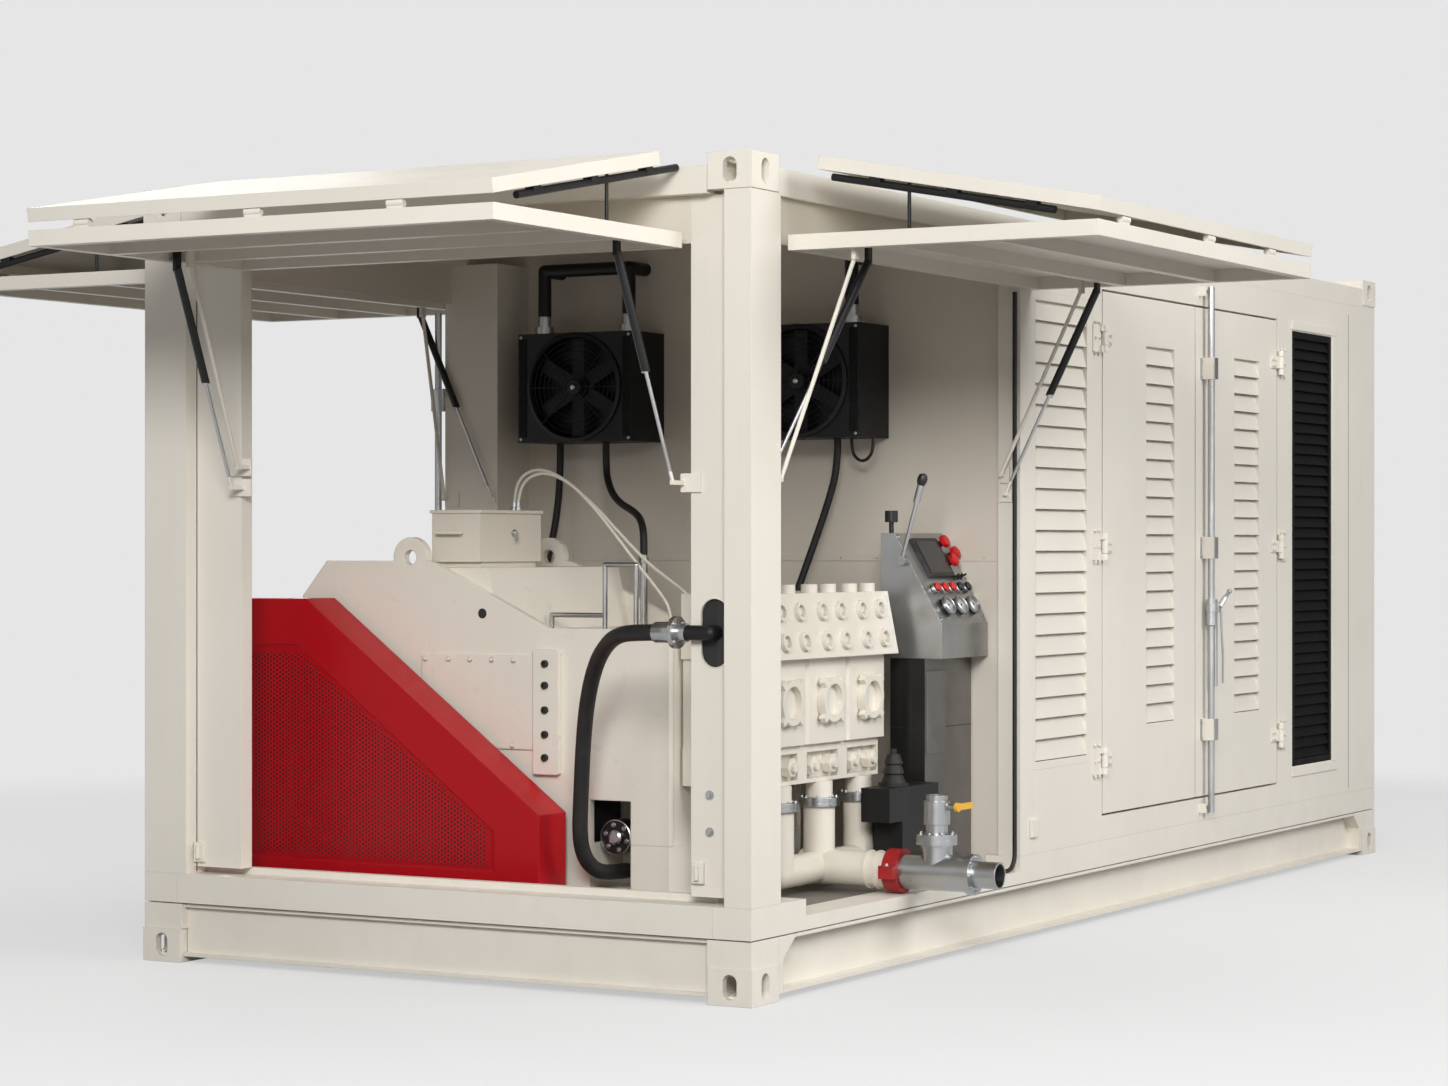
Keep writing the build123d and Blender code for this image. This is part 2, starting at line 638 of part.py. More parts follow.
def wall_hinges(x, side):
    """The wall's outer knuckles, plates and pins. Side is 1 where the door lies at +X of the pin."""
    y = Y0 - HINGE_OUT
    half = KNUCKLE_H / 2
    made = []
    for z in HINGE_Z:
        low = z - half - KNUCKLE_GAP
        high = z + half + KNUCKLE_GAP
        piece = bar((x, y, low - half), (x, y, high + half), PIN_R)
        arm = sorted((x, x - side * 30))
        for z0, z1 in ((low - half, low), (high, high + half)):
            piece += bar((x, y, z0), (x, y, z1), KNUCKLE_R)
            piece += block(*arm, y, Y0, z0, z1)
        plate = sorted((x - side * 14, x - side * STRAP[0]))
        piece += block(*plate, Y0 - STRAP[1], Y0, low - half, high + half)
        made.append(piece)
    return made


def lock_guides():
    """Three guides that hold the lock bar on the right leaf."""
    y = Y0 - LOCK_OUT
    made = []
    for z in GUIDE_Z:
        low, high = z - GUIDE_H / 2, z + GUIDE_H / 2
        body = block(LOCK_X - GUIDE_HALF, LOCK_X + GUIDE_HALF, y - LOCK_R - 6, Y0, low, high)
        body -= bar((LOCK_X, y, low - 1), (LOCK_X, y, high + 1), LOCK_R + GUIDE_FIT)
        made.append(body)
    return made


def lock_bar():
    """The vertical lock bar with its two cams, handle hub and handle."""
    y = Y0 - LOCK_OUT
    low, high = LOCK_Z
    rod = bar((LOCK_X, y, low), (LOCK_X, y, high), LOCK_R)
    for z in (low + CAM_INSET, high - CAM_INSET):
        rod += block(LOCK_X - 10, LOCK_X + 10, y, y + CAM_REACH, z - CAM_H / 2, z + CAM_H / 2)
    foot, hub, top = HANDLE_Z
    out = LOCK_X + HANDLE_OUT
    rod += bar((LOCK_X, y, hub), (LOCK_X, y, top), LOCK_R + 8)
    rod += block(LOCK_X, out, y - 8, y + 8, hub + 20, top - 20)
    return rod + bar((out, y, foot), (out, y, top), 10)


def keepers():
    """Open keepers on the frame, one each side of each cam."""
    made = []
    near = CAM_REACH + KEEPER_CLEAR
    for z in (LOCK_Z[0] + CAM_INSET, LOCK_Z[1] - CAM_INSET):
        for a, b in ((-near - 8, -near), (near, near + 8)):
            made.append(block(LOCK_X + a, LOCK_X + b, Y0 - 30, Y0, z - 20, z + 20))
    return made


def column_bar():
    """The far column's lock bar on its brackets."""
    x, y, low, high = COLUMN_BAR
    rod = bar((x, y, low), (x, y, high), LOCK_R)
    for z in COLUMN_BAR_BRACKETS:
        rod += block(x - GUIDE_HALF, x + GUIDE_HALF, Y1, y + LOCK_R + 6, z - GUIDE_H / 2, z + GUIDE_H / 2)
    return rod


# Awnings
def lower_leaf(length, reach, arm):
    """A framed leaf, X along its hinge from 0, Y outward from 0 to reach, Z up from 0."""
    leaf = block(0, length, 0, reach, 0, LEAF_THICK)
    pitch = (reach - LEAF_RIB) / LEAF_BAYS
    for i in range(LEAF_BAYS):
        y = LEAF_RIB + pitch * i
        leaf -= block(LEAF_RIB, length - LEAF_RIB, y, y + pitch - LEAF_RIB, -1, LEAF_THICK - LEAF_SKIN)
    lift = tan(radians(UPPER_TILT)) * BARREL_R - (BARREL_R + TOUCH) / cos(radians(UPPER_TILT))
    barrel_z = LEAF_THICK + UPPER_GAP + lift
    barrel_y = reach - BARREL_R
    for x in (length * 0.2, length * 0.5, length * 0.88):
        a, b = x - HINGE_ARM / 2, x + HINGE_ARM / 2
        leaf += block(a, b, -HINGE_GAP - arm, 0, HEADER_LAP + 4, LEAF_THICK)
        leaf += block(a, b, barrel_y - 8, barrel_y + 8, LEAF_THICK - 1, barrel_z)
        leaf += bar((a, barrel_y, barrel_z), (b, barrel_y, barrel_z), BARREL_R)
    return leaf


def upper_leaf(length, reach):
    """The outer leaf, folded back over the lower one and propped, from its hinge at Y 0."""
    leaf = block(0, length, 0, reach, 0, UPPER_THICK)
    leaf -= block(LEAF_RIB, length - LEAF_RIB, LEAF_RIB, reach - LEAF_RIB, -1, UPPER_THICK - LEAF_SKIN)
    return Rot(UPPER_TILT, 0, 0) * leaf


def prop(x, reach):
    """The rod that holds the upper leaf up off the lower one, in the lower leaf's frame."""
    rise = (reach - PROP_AT[1] - PROP_R) * tan(radians(UPPER_TILT))
    return bar((x, PROP_AT[1], LEAF_THICK), (x, PROP_AT[1], LEAF_THICK + UPPER_GAP + rise - TOUCH), PROP_R)


def awning_bar(x, start, stop):
    """A lock bar with its guides under an upper leaf, tilted with it."""
    z = -AWNING_BAR_DROP
    piece = bar((x, start, z), (x, stop, z), AWNING_BAR_R)
    for share in (0.1, 0.45, 0.8):
        y = start + (stop - start) * share
        piece += block(x - 16, x + 16, y - 20, y + 20, z, 0)
    return Rot(UPPER_TILT, 0, 0) * piece


def end_place(shape):
    """From a leaf's own frame to the pump end."""
    return Pos(X0 - HINGE_GAP, END_LEAF[0], LEAF_BOTTOM) * (Rot(0, 0, 90) * shape)


def side_place(shape):
    """From a leaf's own frame to the near side."""
    return Pos(SIDE_LEAF[1], Y0 - HINGE_GAP, LEAF_BOTTOM) * (Rot(0, 0, 180) * shape)


def turned(shape, length, reach):
    """From an upper leaf's own frame to its lower leaf's frame."""
    return Pos(length, reach, LEAF_THICK + UPPER_GAP) * (Rot(0, 0, 180) * shape)


def top_lug(x, y):
    """The lug under a lower leaf's skin that carries the top of a strut or a stay."""
    half = LUG_THICK / 2
    return block(x - LUG_WIDE / 2, x + LUG_WIDE / 2, y - half, y + half, EYE_Z - LUG_WIDE / 2, LEAF_UNDER)


def foot_bracket(face, plate_y, eye):
    """A plate on a face at X, with a lug out to a foot eye."""
    x, y, z = eye
    way = 1 if x > face else -1
    plate = sorted((face, face + way * FOOT_PLATE))
    lug = sorted((face, x + way * LUG_THICK / 2))
    half = LUG_THICK / 2
    piece = block(*plate, *plate_y, z - FOOT_HALF, z + FOOT_HALF)
    return piece + block(*lug, y - half, y + half, z - half, z + half)


def strut(ends):
    """A gas strut: black cylinder above, rod below, between its two eyes."""
    top, foot = ends
    a = Vector(*top, EYE_Z)
    b = Vector(*foot)
    middle = a + (b - a) * CYLINDER_SHARE
    return bar(a, middle, STRUT_R) + bar(middle, b, STRUT_ROD_R) + top_lug(*top)


def stay(ends):
    """A plain stay rod between its two eyes."""
    top, foot = ends
    return bar((*top, EYE_Z), foot, STAY_R) + top_lug(*top)


def all_struts():
    """Every strut with its foot bracket."""
    jamb = X0 + JAMB_RECESS
    post = X0 + POST_X
    near_plate = (END_OPEN[0] - 40, END_NEAR_STRUT[1][1] + 8)
    far_plate = (END_FAR_STAY[1][1] - 10, END_OPEN[1] + 46)
    post_plate = (Y0 + 4, Y0 + 69)
    made = [strut(END_NEAR_STRUT) + foot_bracket(jamb, near_plate, END_NEAR_STRUT[1])]
    made.append(strut(END_FAR_STRUT) + foot_bracket(jamb, far_plate, END_FAR_STRUT[1]))
    corner = strut(POST_STRUT) + foot_bracket(post, post_plate, POST_STRUT[1])
    made += [corner, far(corner)]
    made.append(strut(COLUMN_STRUT) + foot_bracket(COLUMN[0], (Y0 + 30, Y0 + 79), COLUMN_STRUT[1]))
    y = Y1 - FAR_COLUMN[1]
    made.append(strut(FAR_COLUMN_STRUT) + foot_bracket(FAR_COLUMN[0], (y + 6, y + 61), FAR_COLUMN_STRUT[1]))
    return made


def all_stays():
    """Every stay with its foot bracket."""
    jamb = X0 + JAMB_RECESS
    post = X0 + POST_X
    far_plate = (END_FAR_STAY[1][1] - 10, END_OPEN[1] + 46)
    made = [stay(END_FAR_STAY) + foot_bracket(jamb, far_plate, END_FAR_STAY[1])]
    corner = stay(POST_STAY) + foot_bracket(post, (Y0 + 4, Y0 + 69), POST_STAY[1])
    made += [corner, far(corner)]
    made.append(stay(COLUMN_STAY) + foot_bracket(COLUMN[0], (Y0 + 40, Y0 + 79), COLUMN_STAY[1]))
    made.append(stay(FAR_COLUMN_STAY) + foot_bracket(FAR_COLUMN[0], (Y1 - 69, Y1 - 4), FAR_COLUMN_STAY[1]))
    return made


def build_frame():
    """Sub-base, posts, rails, floor, roof and jambs."""
    save("base_castings", *four_corners(casting(False)))
    save("base_beams", side_beam(), far(side_beam()), end_beam(), mirror(end_beam(), about=Plane.YZ))
    save("base_cross_members", *cross_members())
    save("bottom_side_rails", side_rail(), far(side_rail()))
    save("bottom_end_rails", end_rail(), mirror(end_rail(), about=Plane.YZ))
    save("corner_posts", *posts())
    save("top_castings", *four_corners(casting(True)))
    save("top_rails", top_side_rail(), far(top_side_rail()), top_end_rail(), mirror(top_end_rail(), about=Plane.YZ))
    save("end_jambs", *jambs())
    save("bay_columns", *columns())
    save("bulkhead", bulkhead())
    save("header_panels", *header_panels())
    save("floor_plate", floor_plate())
    save("roof_panel", roof())


def build_walls():
    """Engine-room walls, louvres, grilles, doors and lock bars."""
    piers, heads, sills = side_wall()
    rear_piers, rear_heads, rear_sills = rear_wall()
    save("wall_piers", *piers, *[far(p) for p in piers], *rear_piers)
    panels = heads + sills
    save("wall_panels", *panels, *[far(p) for p in panels], *rear_heads, *rear_sills)
    save("louvre_panels", fixed_louvres(), far(fixed_louvres()), rear_louvres())
    save("radiator_grilles", radiator_grille(), far(radiator_grille()))
    left_x = DOORWAY[0] + DOOR_GAP
    right_x = DOORWAY[1] - DOOR_GAP
    left = door_leaf(left_x, DOOR_MEET - MEET_GAP / 2, DOOR_LOUVRE_AT[0])
    right = door_leaf(DOOR_MEET + MEET_GAP / 2, right_x, DOOR_LOUVRE_AT[1])
    hinge_left = DOORWAY[0] - 6
    hinge_right = DOORWAY[1] + 6
    for piece in door_hinges(hinge_left, 1):
        left += piece
    for piece in door_hinges(hinge_right, -1) + lock_guides():
        right += piece
    save("door_left", left)
    save("door_right", right)
    save("far_doors", far(left), far(right), far(lock_bar()), column_bar())
    fixings = wall_hinges(hinge_left, 1) + wall_hinges(hinge_right, -1) + keepers()
    save("door_hinges", *fixings, *[far(piece) for piece in fixings])
    save("lock_bar", lock_bar())


def build_awnings():
    """The three folding awnings with their struts, stays, props and lock bars."""
    end_len = END_LEAF[1] - END_LEAF[0]
    side_len = SIDE_LEAF[1] - SIDE_LEAF[0]
    end_reach = END_REACH - HINGE_GAP
    side_reach = SIDE_REACH - HINGE_GAP
    side_lower = side_place(lower_leaf(side_len, side_reach, HEADER_LAP))
    save("end_awning_lower", end_place(lower_leaf(end_len, end_reach, JAMB_RECESS)))
    save("near_awning_lower", side_lower)
    save("far_awning_lower", far(side_lower))
    side_upper = side_place(turned(upper_leaf(side_len, SIDE_UPPER_LEN), side_len, side_reach))
    save("end_awning_upper", end_place(turned(upper_leaf(end_len, END_UPPER_LEN), end_len, end_reach)))
    save("near_awning_upper", side_upper)
    save("far_awning_upper", far(side_upper))
    end_bar = end_place(turned(awning_bar(end_len - PROP_AT[0], AWNING_BAR_START, END_UPPER_LEN + 130), end_len, end_reach))
    side_bar = side_place(turned(awning_bar(PROP_AT[0], AWNING_BAR_START, SIDE_UPPER_LEN - 50), side_len, side_reach))
    end_prop = end_place(prop(PROP_AT[0], end_reach))
    side_prop = side_place(prop(side_len - PROP_AT[0], side_reach))
    save("awning_lock_bars", end_bar, side_bar, far(side_bar), end_prop, side_prop, far(side_prop))
    save("awning_struts", *all_struts())
    save("awning_stays", *all_stays())


# Pump
def service_port():
    """The cutter for the low opening in the pump's end, where the big hose starts."""
    a, b, z0, z1, depth = SERVICE_PORT
    x = PUMP_X[0]
    return block(x - 1, x + depth, a, b, z0, z1)


def pump_plate(x):
    """One side plate of the power end, with its lifting lug."""
    y, z, r, hole = LUG
    low = PUMP_BASE_Z
    high = CRANK_Y[1]
    outline = [(FRAME_END_Y, low), (FRAME_END_Y, FRAME_Z), (CRANK_Y[0], FRAME_Z), (y - r - 40, CRANK_Z - 10)]
    outline += [(y - r, CRANK_Z), (high, CRANK_Z), (high + CHAMFER[0], CRANK_Z - CHAMFER[1]), (high + CHAMFER[0], low)]
    plate = yz_plate(outline, x, x + PLATE_THICK)
    plate += bar((x, y, z), (x + PLATE_THICK, y, z), r)
    return plate - bar((x - 1, y, z), (x + PLATE_THICK + 1, y, z), hole) - service_port()


def power_end():
    """The casing between the two side plates, with the shaft hub in its service port."""
    a, b = PUMP_X[0] + PLATE_THICK, PUMP_X[1] - PLATE_THICK
    low = PUMP_BASE_Z
    stop = CRANK_Y[1] - CASING_INSET
    outline = [(FRAME_END_Y + 10, low), (FRAME_END_Y + 10, DECK_Z), (HOUSING_Y[0], DECK_Z), (HOUSING_Y[1], CASING_TOP)]
    outline += [(stop, CASING_TOP), (stop + CHAMFER[0], CASING_TOP - CHAMFER[1]), (stop + CHAMFER[0], low)]
    casing = yz_plate(outline, a, b) - service_port()
    y, z, r, hub = HUB
    back = PUMP_X[0] + SERVICE_PORT[4]
    casing += bar((back - HUB_REACH[0], y, z), (back, y, z), hub)
    return casing + bar((back - HUB_REACH[1], y, z), (back - HUB_REACH[0], y, z), r)


def pump_covers():
    """The bolted cover and the upright bar on the pump's outer side plate."""
    y0, y1, z0, z1, thick = COVER_PLATE
    cover = block(PUMP_X[0] - thick, PUMP_X[0], y0, y1, z0, z1)
    y0, y1, z0, z1, thick = SIDE_BAR
    upright = block(PUMP_X[0] - thick, PUMP_X[0], y0, y1, z0, z1)
    return [cover, fillet(upright.edges().filter_by(Axis.X), 8)]


def lube_box():
    """The oil box with its lid, on a pad on the casing."""
    x0, x1, y0, y1, z0, z1 = LUBE_BOX
    lap, lid = LUBE_LID
    box = block(x0 + 20, x1 - 20, y0 + 10, y1 - 10, CASING_TOP, z0) + block(x0, x1, y0, y1, z0, z1)
    return box + block(x0 - lap, x1 + lap, y0 - lap, y1 + lap, z1, z1 + lid)


def lube_pipes():
    """Steel pipe runs on the pump's deck, and the riser for the cooler hose."""
    x, y0, y1, low, high = LUBE_PIPE
    r = LUBE_PIPE_R
    run = bar((x, HOUSING_Y[0] - 20, DECK_Z), (x, HOUSING_Y[0] - 20, low), r)
    run += bar((x, HOUSING_Y[0] - 20, low), (x, y0, low), r)
    for y in (y0, y1):
        run += bar((x, y, DECK_Z), (x, y, high), r) + Pos(x, y, high) * Sphere(r)
    run += bar((x, y0, high), (x, y1, high), r) + Pos(x, HOUSING_Y[0] - 20, low) * Sphere(r)
    x, y, top = RISER
    return [run, bar((x, y, DECK_Z), (x, y, top), HOSE_R) + bar((x, y, top - 30), (x, y, top - 8), HOSE_R + 5)]


def front_point(row, out):
    """Y and Z of a point on the upper block's sloped front, out along its normal."""
    z0, z1, y0, y1 = UPPER_BLOCK
    length = hypot(y1 - y0, z1 - z0)
    y = y0 + (y1 - y0) * row - out * (z1 - z0) / length
    return y, z0 + (z1 - z0) * row + out * (y1 - y0) / length


def stud_columns():
    """The X of each column of studs, two to a module."""
    middles = [MODULE_X + (i - 1) * MODULE_PITCH for i in range(3)]
    return [x + side * STUD_PITCH / 2 for x in middles for side in (-1, 1)]


def fluid_end():
    """The fluid end: three modules under a sloped upper block, over a lower block."""
    half = 1.5 * MODULE_PITCH
    x0, x1 = MODULE_X - half, MODULE_X + half
    z0, z1, y_low, y_high = UPPER_BLOCK
    back = FLUID_Y[1]
    front = FLUID_Y[0]
    body = yz_plate([(back, z0), (y_low, z0), (y_high, z1), (back, z1)], x0 - 10, x1 + 20)
    low, high = LOWER_BLOCK
    face = front + 20
    body += block(x0, x1 - 25, face, back, low, high)
    reach = (MODULE_PITCH - MODULE_GAP) / 2
    wide, tall, deep = NUT_POCKET
    for i in range(3):
        x = MODULE_X + (i - 1) * MODULE_PITCH
        module = block(x - reach, x + reach, front, back, high, z0)
        body += chamfer(module.edges().filter_by(Axis.Z).group_by(Axis.Y)[0], 12)
        body -= block(x - wide / 2, x + wide / 2, face - 1, face + deep, NUT_Z - tall / 2, NUT_Z + tall / 2)
        body += bar((x, SUCTION_Y, FLANGE_Z), (x, SUCTION_Y, FLANGE_Z + 16), FLANGE_R)
        body += bar((x, SUCTION_Y, FLANGE_Z), (x, SUCTION_Y, low + 1), NECK_R - 8)
    outer, bore, stud = BOSS
    for x in stud_columns():
        for row in STUD_ROWS:
            inner = (x, *front_point(row, -BOSS_OUT))
            tip = (x, *front_point(row, BOSS_OUT))
            body += bar(inner, tip, outer)
            body -= bar((x, *front_point(row, -6)), (x, *front_point(row, BOSS_OUT + 1)), bore)
            body += bar(inner, (x, *front_point(row, 8)), stud)
        body += bar((x, y_high + outer, z1 - 1), (x, y_high + outer, z1 + 30), outer - 4)
    return body


def valve_covers():
    """Round covers with four lugs on the modules, and the hexagon nuts of the lower block."""
    z = (MODULE_Z[0] + MODULE_Z[1]) / 2
    y = FLUID_Y[0]
    made = []
    reach, wide = COVER_LUG
    for i in range(3):
        x = MODULE_X + (i - 1) * MODULE_PITCH
        ring = bar((x, y - COVER_OUT, z), (x, y, z), COVER_R)
        for turn in (45, 135):
            wing = block(x - reach, x + reach, y - COVER_OUT, y - 6, z - wide / 2, z + wide / 2)
            ring += Pos(x, 0, z) * (Rot(0, turn, 0) * (Pos(-x, 0, -z) * wing))
        ring -= bar((x, y - COVER_OUT - 1, z), (x, y - 8, z), COVER_R - 22)
        made.append(ring)
    across, out, stud = NUT
    seat = FLUID_Y[0] + 20 + NUT_POCKET[2]
    for x in stud_columns():
        hexagon = Plane.XZ * RegularPolygon(across, 6)
        nut = Pos(x, seat, NUT_Z) * extrude(hexagon, amount=out)
        made.append(nut + bar((x, seat, NUT_Z), (x, seat - out - 12, NUT_Z), stud))
    return made


def belt_guard():
    """The guard over the drive belt: a folded sheet box with a sloped top and an inset panel."""
    x0, x1 = GUARD_X
    y0, y1 = GUARD_Y
    z0, z1, z2 = GUARD_Z
    outline = [(y0, z0), (y0, z1), (GUARD_CORNER_Y, z2), (y1, z2), (y1, z0)]
    shell = yz_plate(outline, x0, x1)
    t = GUARD_SKIN
    inner = [(y0 + t, z0 - 1), (y0 + t, z1 - t), (GUARD_CORNER_Y + 4, z2 - t), (y1 - t, z2 - t), (y1 - t, z0 - 1)]
    shell -= yz_plate(inner, x0 + t, x1 + 1)
    shell -= yz_plate(GUARD_FIELD, x0 - 1, x0 + GUARD_INSET)
    for y in (y0 + 80, GUARD_CORNER_Y):
        shell += block(x0, x0 + 40, y - 30, y + 30, FLOOR_TOP, z0 + t)
    return shell


def suction_manifold():
    """Three necks under the fluid end that join in one pipe towards the operator side."""
    z = SUCTION_Z
    body = bar((MODULE_X, SUCTION_Y + 60, z), (MODULE_X, COUPLING[0], z), PIPE_R)
    body += bar((MODULE_X - MODULE_PITCH, SUCTION_Y, z), (MODULE_X + MODULE_PITCH, SUCTION_Y, z), NECK_R)
    for i in range(3):
        x = MODULE_X + (i - 1) * MODULE_PITCH
        body += bar((x, SUCTION_Y, z), (x, SUCTION_Y, FLANGE_Z - 14), NECK_R)
        body += Pos(x, SUCTION_Y, z) * Sphere(NECK_R)
        body += bar((x, SUCTION_Y, FLANGE_Z - 14), (x, SUCTION_Y, FLANGE_Z), FLANGE_R)
    for groove in GROOVE_Y:
        body += bar((MODULE_X, groove, z), (MODULE_X, groove - 8, z), PIPE_R + 5)
    return body - bar((MODULE_X, SUCTION_Y + 40, z), (MODULE_X, COUPLING[0] - 1, z), PIPE_R - PIPE_WALL)


def red_coupling():
    """The grooved coupling between manifold and tee, with its two bolt lugs."""
    a, b, r = COUPLING
    ring = bar((MODULE_X, a, SUCTION_Z), (MODULE_X, b, SUCTION_Z), r)
    ring += block(MODULE_X - r - 22, MODULE_X + r + 22, b, a, SUCTION_Z - 22, SUCTION_Z + 22)
    ring -= bar((MODULE_X, a + 1, SUCTION_Z), (MODULE_X, b - 1, SUCTION_Z), PIPE_R - PIPE_WALL)
    return ring - bar((MODULE_X, a - 6, SUCTION_Z), (MODULE_X, b + 6, SUCTION_Z), PIPE_R)


def suction_tee():
    """The tee with its branch flange, end flange and hose shank."""
    y0, y1 = TEE_Y
    z = SUCTION_Z
    x = MODULE_X
    tee = bar((x, y0, z), (x, y1, z), PIPE_R)
    tee += bar((x, TEE_BRANCH_Y, z), (x, TEE_BRANCH_Y, z + BRANCH_NECK[0]), PIPE_R - 8)
    tee += bar((x, TEE_BRANCH_Y, z + BRANCH_NECK[1]), (x, TEE_BRANCH_Y, z + BRANCH_NECK[2]), FLANGE_R)
    tee += bar((x, y1, z), (x, y1 - 24, z), FLANGE_R)
    tee += bar((x, y1 - 24, z), (x, y1 - 24 - SHANK[1], z), SHANK[0])
    tee -= bar((x, y0 + 1, z), (x, y1 - 30 - SHANK[1], z), SHANK[0] - PIPE_WALL)
    return tee


def branch_valve():
    """The ball valve and pipe stub on the tee's branch."""
    x, y, z = MODULE_X, TEE_BRANCH_Y, SUCTION_Z + 116
    body = bar((x, y, z), (x, y, z + 16), FLANGE_R) + bar((x, y, z), (x, y, BRANCH_TOP), BRANCH_R)
    body += bar((x, y, z + VALVE_BODY[0]), (x, y, z + VALVE_BODY[1]), BRANCH_R + 8)
    body -= bar((x, y, z + 20), (x, y, BRANCH_TOP + 1), BRANCH_R - 6)
    return body + bar((x, y - BRANCH_R, VALVE_STEM_Z), (x, y - BRANCH_R - 34, VALVE_STEM_Z), 12)


def valve_handle():
    """The lever of the ball valve, on its stem."""
    x, y = MODULE_X, TEE_BRANCH_Y - BRANCH_R - 34.3
    hub = bar((x, y, VALVE_STEM_Z), (x, y - 12, VALVE_STEM_Z), 16)
    return hub + block(x, x + VALVE_GRIP, y - 8, y - 2, VALVE_STEM_Z - 11, VALVE_STEM_Z + 11)


def build_pump():
    """Power end, fluid end, guard and suction line."""
    skid = block(PUMP_X[0], PUMP_X[1], FRAME_END_Y, CRANK_Y[1] + CHAMFER[0], FLOOR_TOP, PUMP_BASE_Z)
    save("pump_skid", skid - service_port())
    save("pump_side_plates", pump_plate(PUMP_X[0]), pump_plate(PUMP_X[1] - PLATE_THICK))
    save("power_end", power_end())
    save("fluid_end", fluid_end())
    save("belt_guard", belt_guard())
    save("suction_manifold", suction_manifold())
    save("red_coupling", red_coupling())
    save("suction_tee", suction_tee())
    save("branch_valve", branch_valve())
    save("valve_handle", valve_handle())
    save("pump_covers", *pump_covers(), *valve_covers())
    save("lube_box", lube_box())


# Console, coolers and hoses
def console_head():
    """The sloped control head on the pedestal."""
    x0, x1 = CONSOLE_X
    outline = [PANEL_TOP, (HEAD_BACK_Y, PANEL_TOP[1]), (HEAD_BACK_Y, PEDESTAL_TOP)]
    outline += [(PANEL_BOTTOM[0], PEDESTAL_TOP), PANEL_BOTTOM]
    return yz_plate(outline, x0, x1)


def on_panel(u, v, out):
    """A point on the sloped panel: u along X from its left edge, v down the slope, out from its face."""
    fall = (PANEL_BOTTOM[0] - PANEL_TOP[0], PANEL_BOTTOM[1] - PANEL_TOP[1])
    length = hypot(*fall)
    down = (fall[0] / length, fall[1] / length)
    y = PANEL_TOP[0] + down[0] * v + down[1] * out
    return CONSOLE_X[0] + u, y, PANEL_TOP[1] + down[1] * v - down[0] * out


def button(u, v, r, out):
    """A round control that stands out from the panel."""
    return bar(on_panel(u, v, 0), on_panel(u, v, out), r)


def console_controls():
    """Display, stop buttons, button row, gauges, beacon and the side box of the console."""
    u0, u1, v0, v1 = DISPLAY
    corners = [on_panel(0, v, out) for v, out in ((v0, 0), (v0, 16), (v1, 16), (v1, 0))]
    made = [yz_plate([point[1:] for point in corners], CONSOLE_X[0] + u0, CONSOLE_X[0] + u1)]
    for u, v in STOP_BUTTONS:
        made.append(button(u, v, 12, 20) + bar(on_panel(u, v, 20), on_panel(u, v, 34), 23))
    for u in BUTTON_ROW:
        made.append(button(u, ROW_V, 17, 18))
    for u in GAUGES:
        made.append(button(u, GAUGE_V, 34, 12))
    x, y, z = BEACON
    stem = bar((x, y, PANEL_TOP[1]), (x, y, z), 9) + bar((x, y, z), (x, y, z + 42), 24)
    made.append(stem)
    x0, x1, y0, y1, z0, z1 = SIDE_BOX
    made.append(block(x0, x1, y0, y1, z0, z1))
    return made


def console_lever():
    """The throttle lever beside the head, with its grip."""
    y, z = PANEL_TOP[0] - 40, LEVER_Z
    lean, rise, grip_lean, grip_rise = LEVER_RISE
    x = CONSOLE_X[0] - LEVER_GAP
    top = (x, y - lean, z + rise)
    hub = bar((x - 8, y, z), (CONSOLE_X[0] - TOUCH, y, z), 18)
    return hub + bar((x, y, z), top, 7) + bar(top, (x, y - lean - grip_lean, z + rise + grip_rise), 13)


def shift_box():
    """The gear shift's box on its stand."""
    x0, x1, y0, y1, z0, z1 = SHIFT_BOX
    return block(x0, x1, y0, y1, z0, z1) + block(x0 + SHIFT_LEG[0], x1 - SHIFT_LEG[1], y0, y1, FLOOR_TOP, z0)


def shift_boot():
    """The bellows boot of the gear shift, three folds and a neck."""
    y = (SHIFT_BOX[2] + SHIFT_BOX[3]) / 2
    z = SHIFT_BOX[5]
    fold, wide, narrow = BOOT_FOLD
    boot = bar((BOOT_X, y, z), (BOOT_X, y, z + 12), wide + 8)
    for i in range(3):
        low = z + 12 + fold * i
        cone = Cone(wide - 6 * i, narrow - 4 * i, fold, align=(Align.CENTER, Align.CENTER, Align.MIN))
        boot += Pos(BOOT_X, y, low) * cone
    return boot + bar((BOOT_X, y, z + 12 + 3 * fold), (BOOT_X, y, z + 30 + 3 * fold), 12)


def cooler(y):
    """An oil cooler box on the bulkhead with a round fan mouth."""
    depth, wide, tall = COOLER_SIZE
    x0 = BULKHEAD_X - depth
    body = block(x0, BULKHEAD_X, y - wide / 2, y + wide / 2, COOLER_Z, COOLER_Z + tall)
    z = COOLER_Z + tall / 2
    body -= bar((x0 - 1, y, z), (x0 + 90, y, z), FAN_R)
    return body + bar((x0 + 60, y, z), (x0 + 91, y, z), 40)


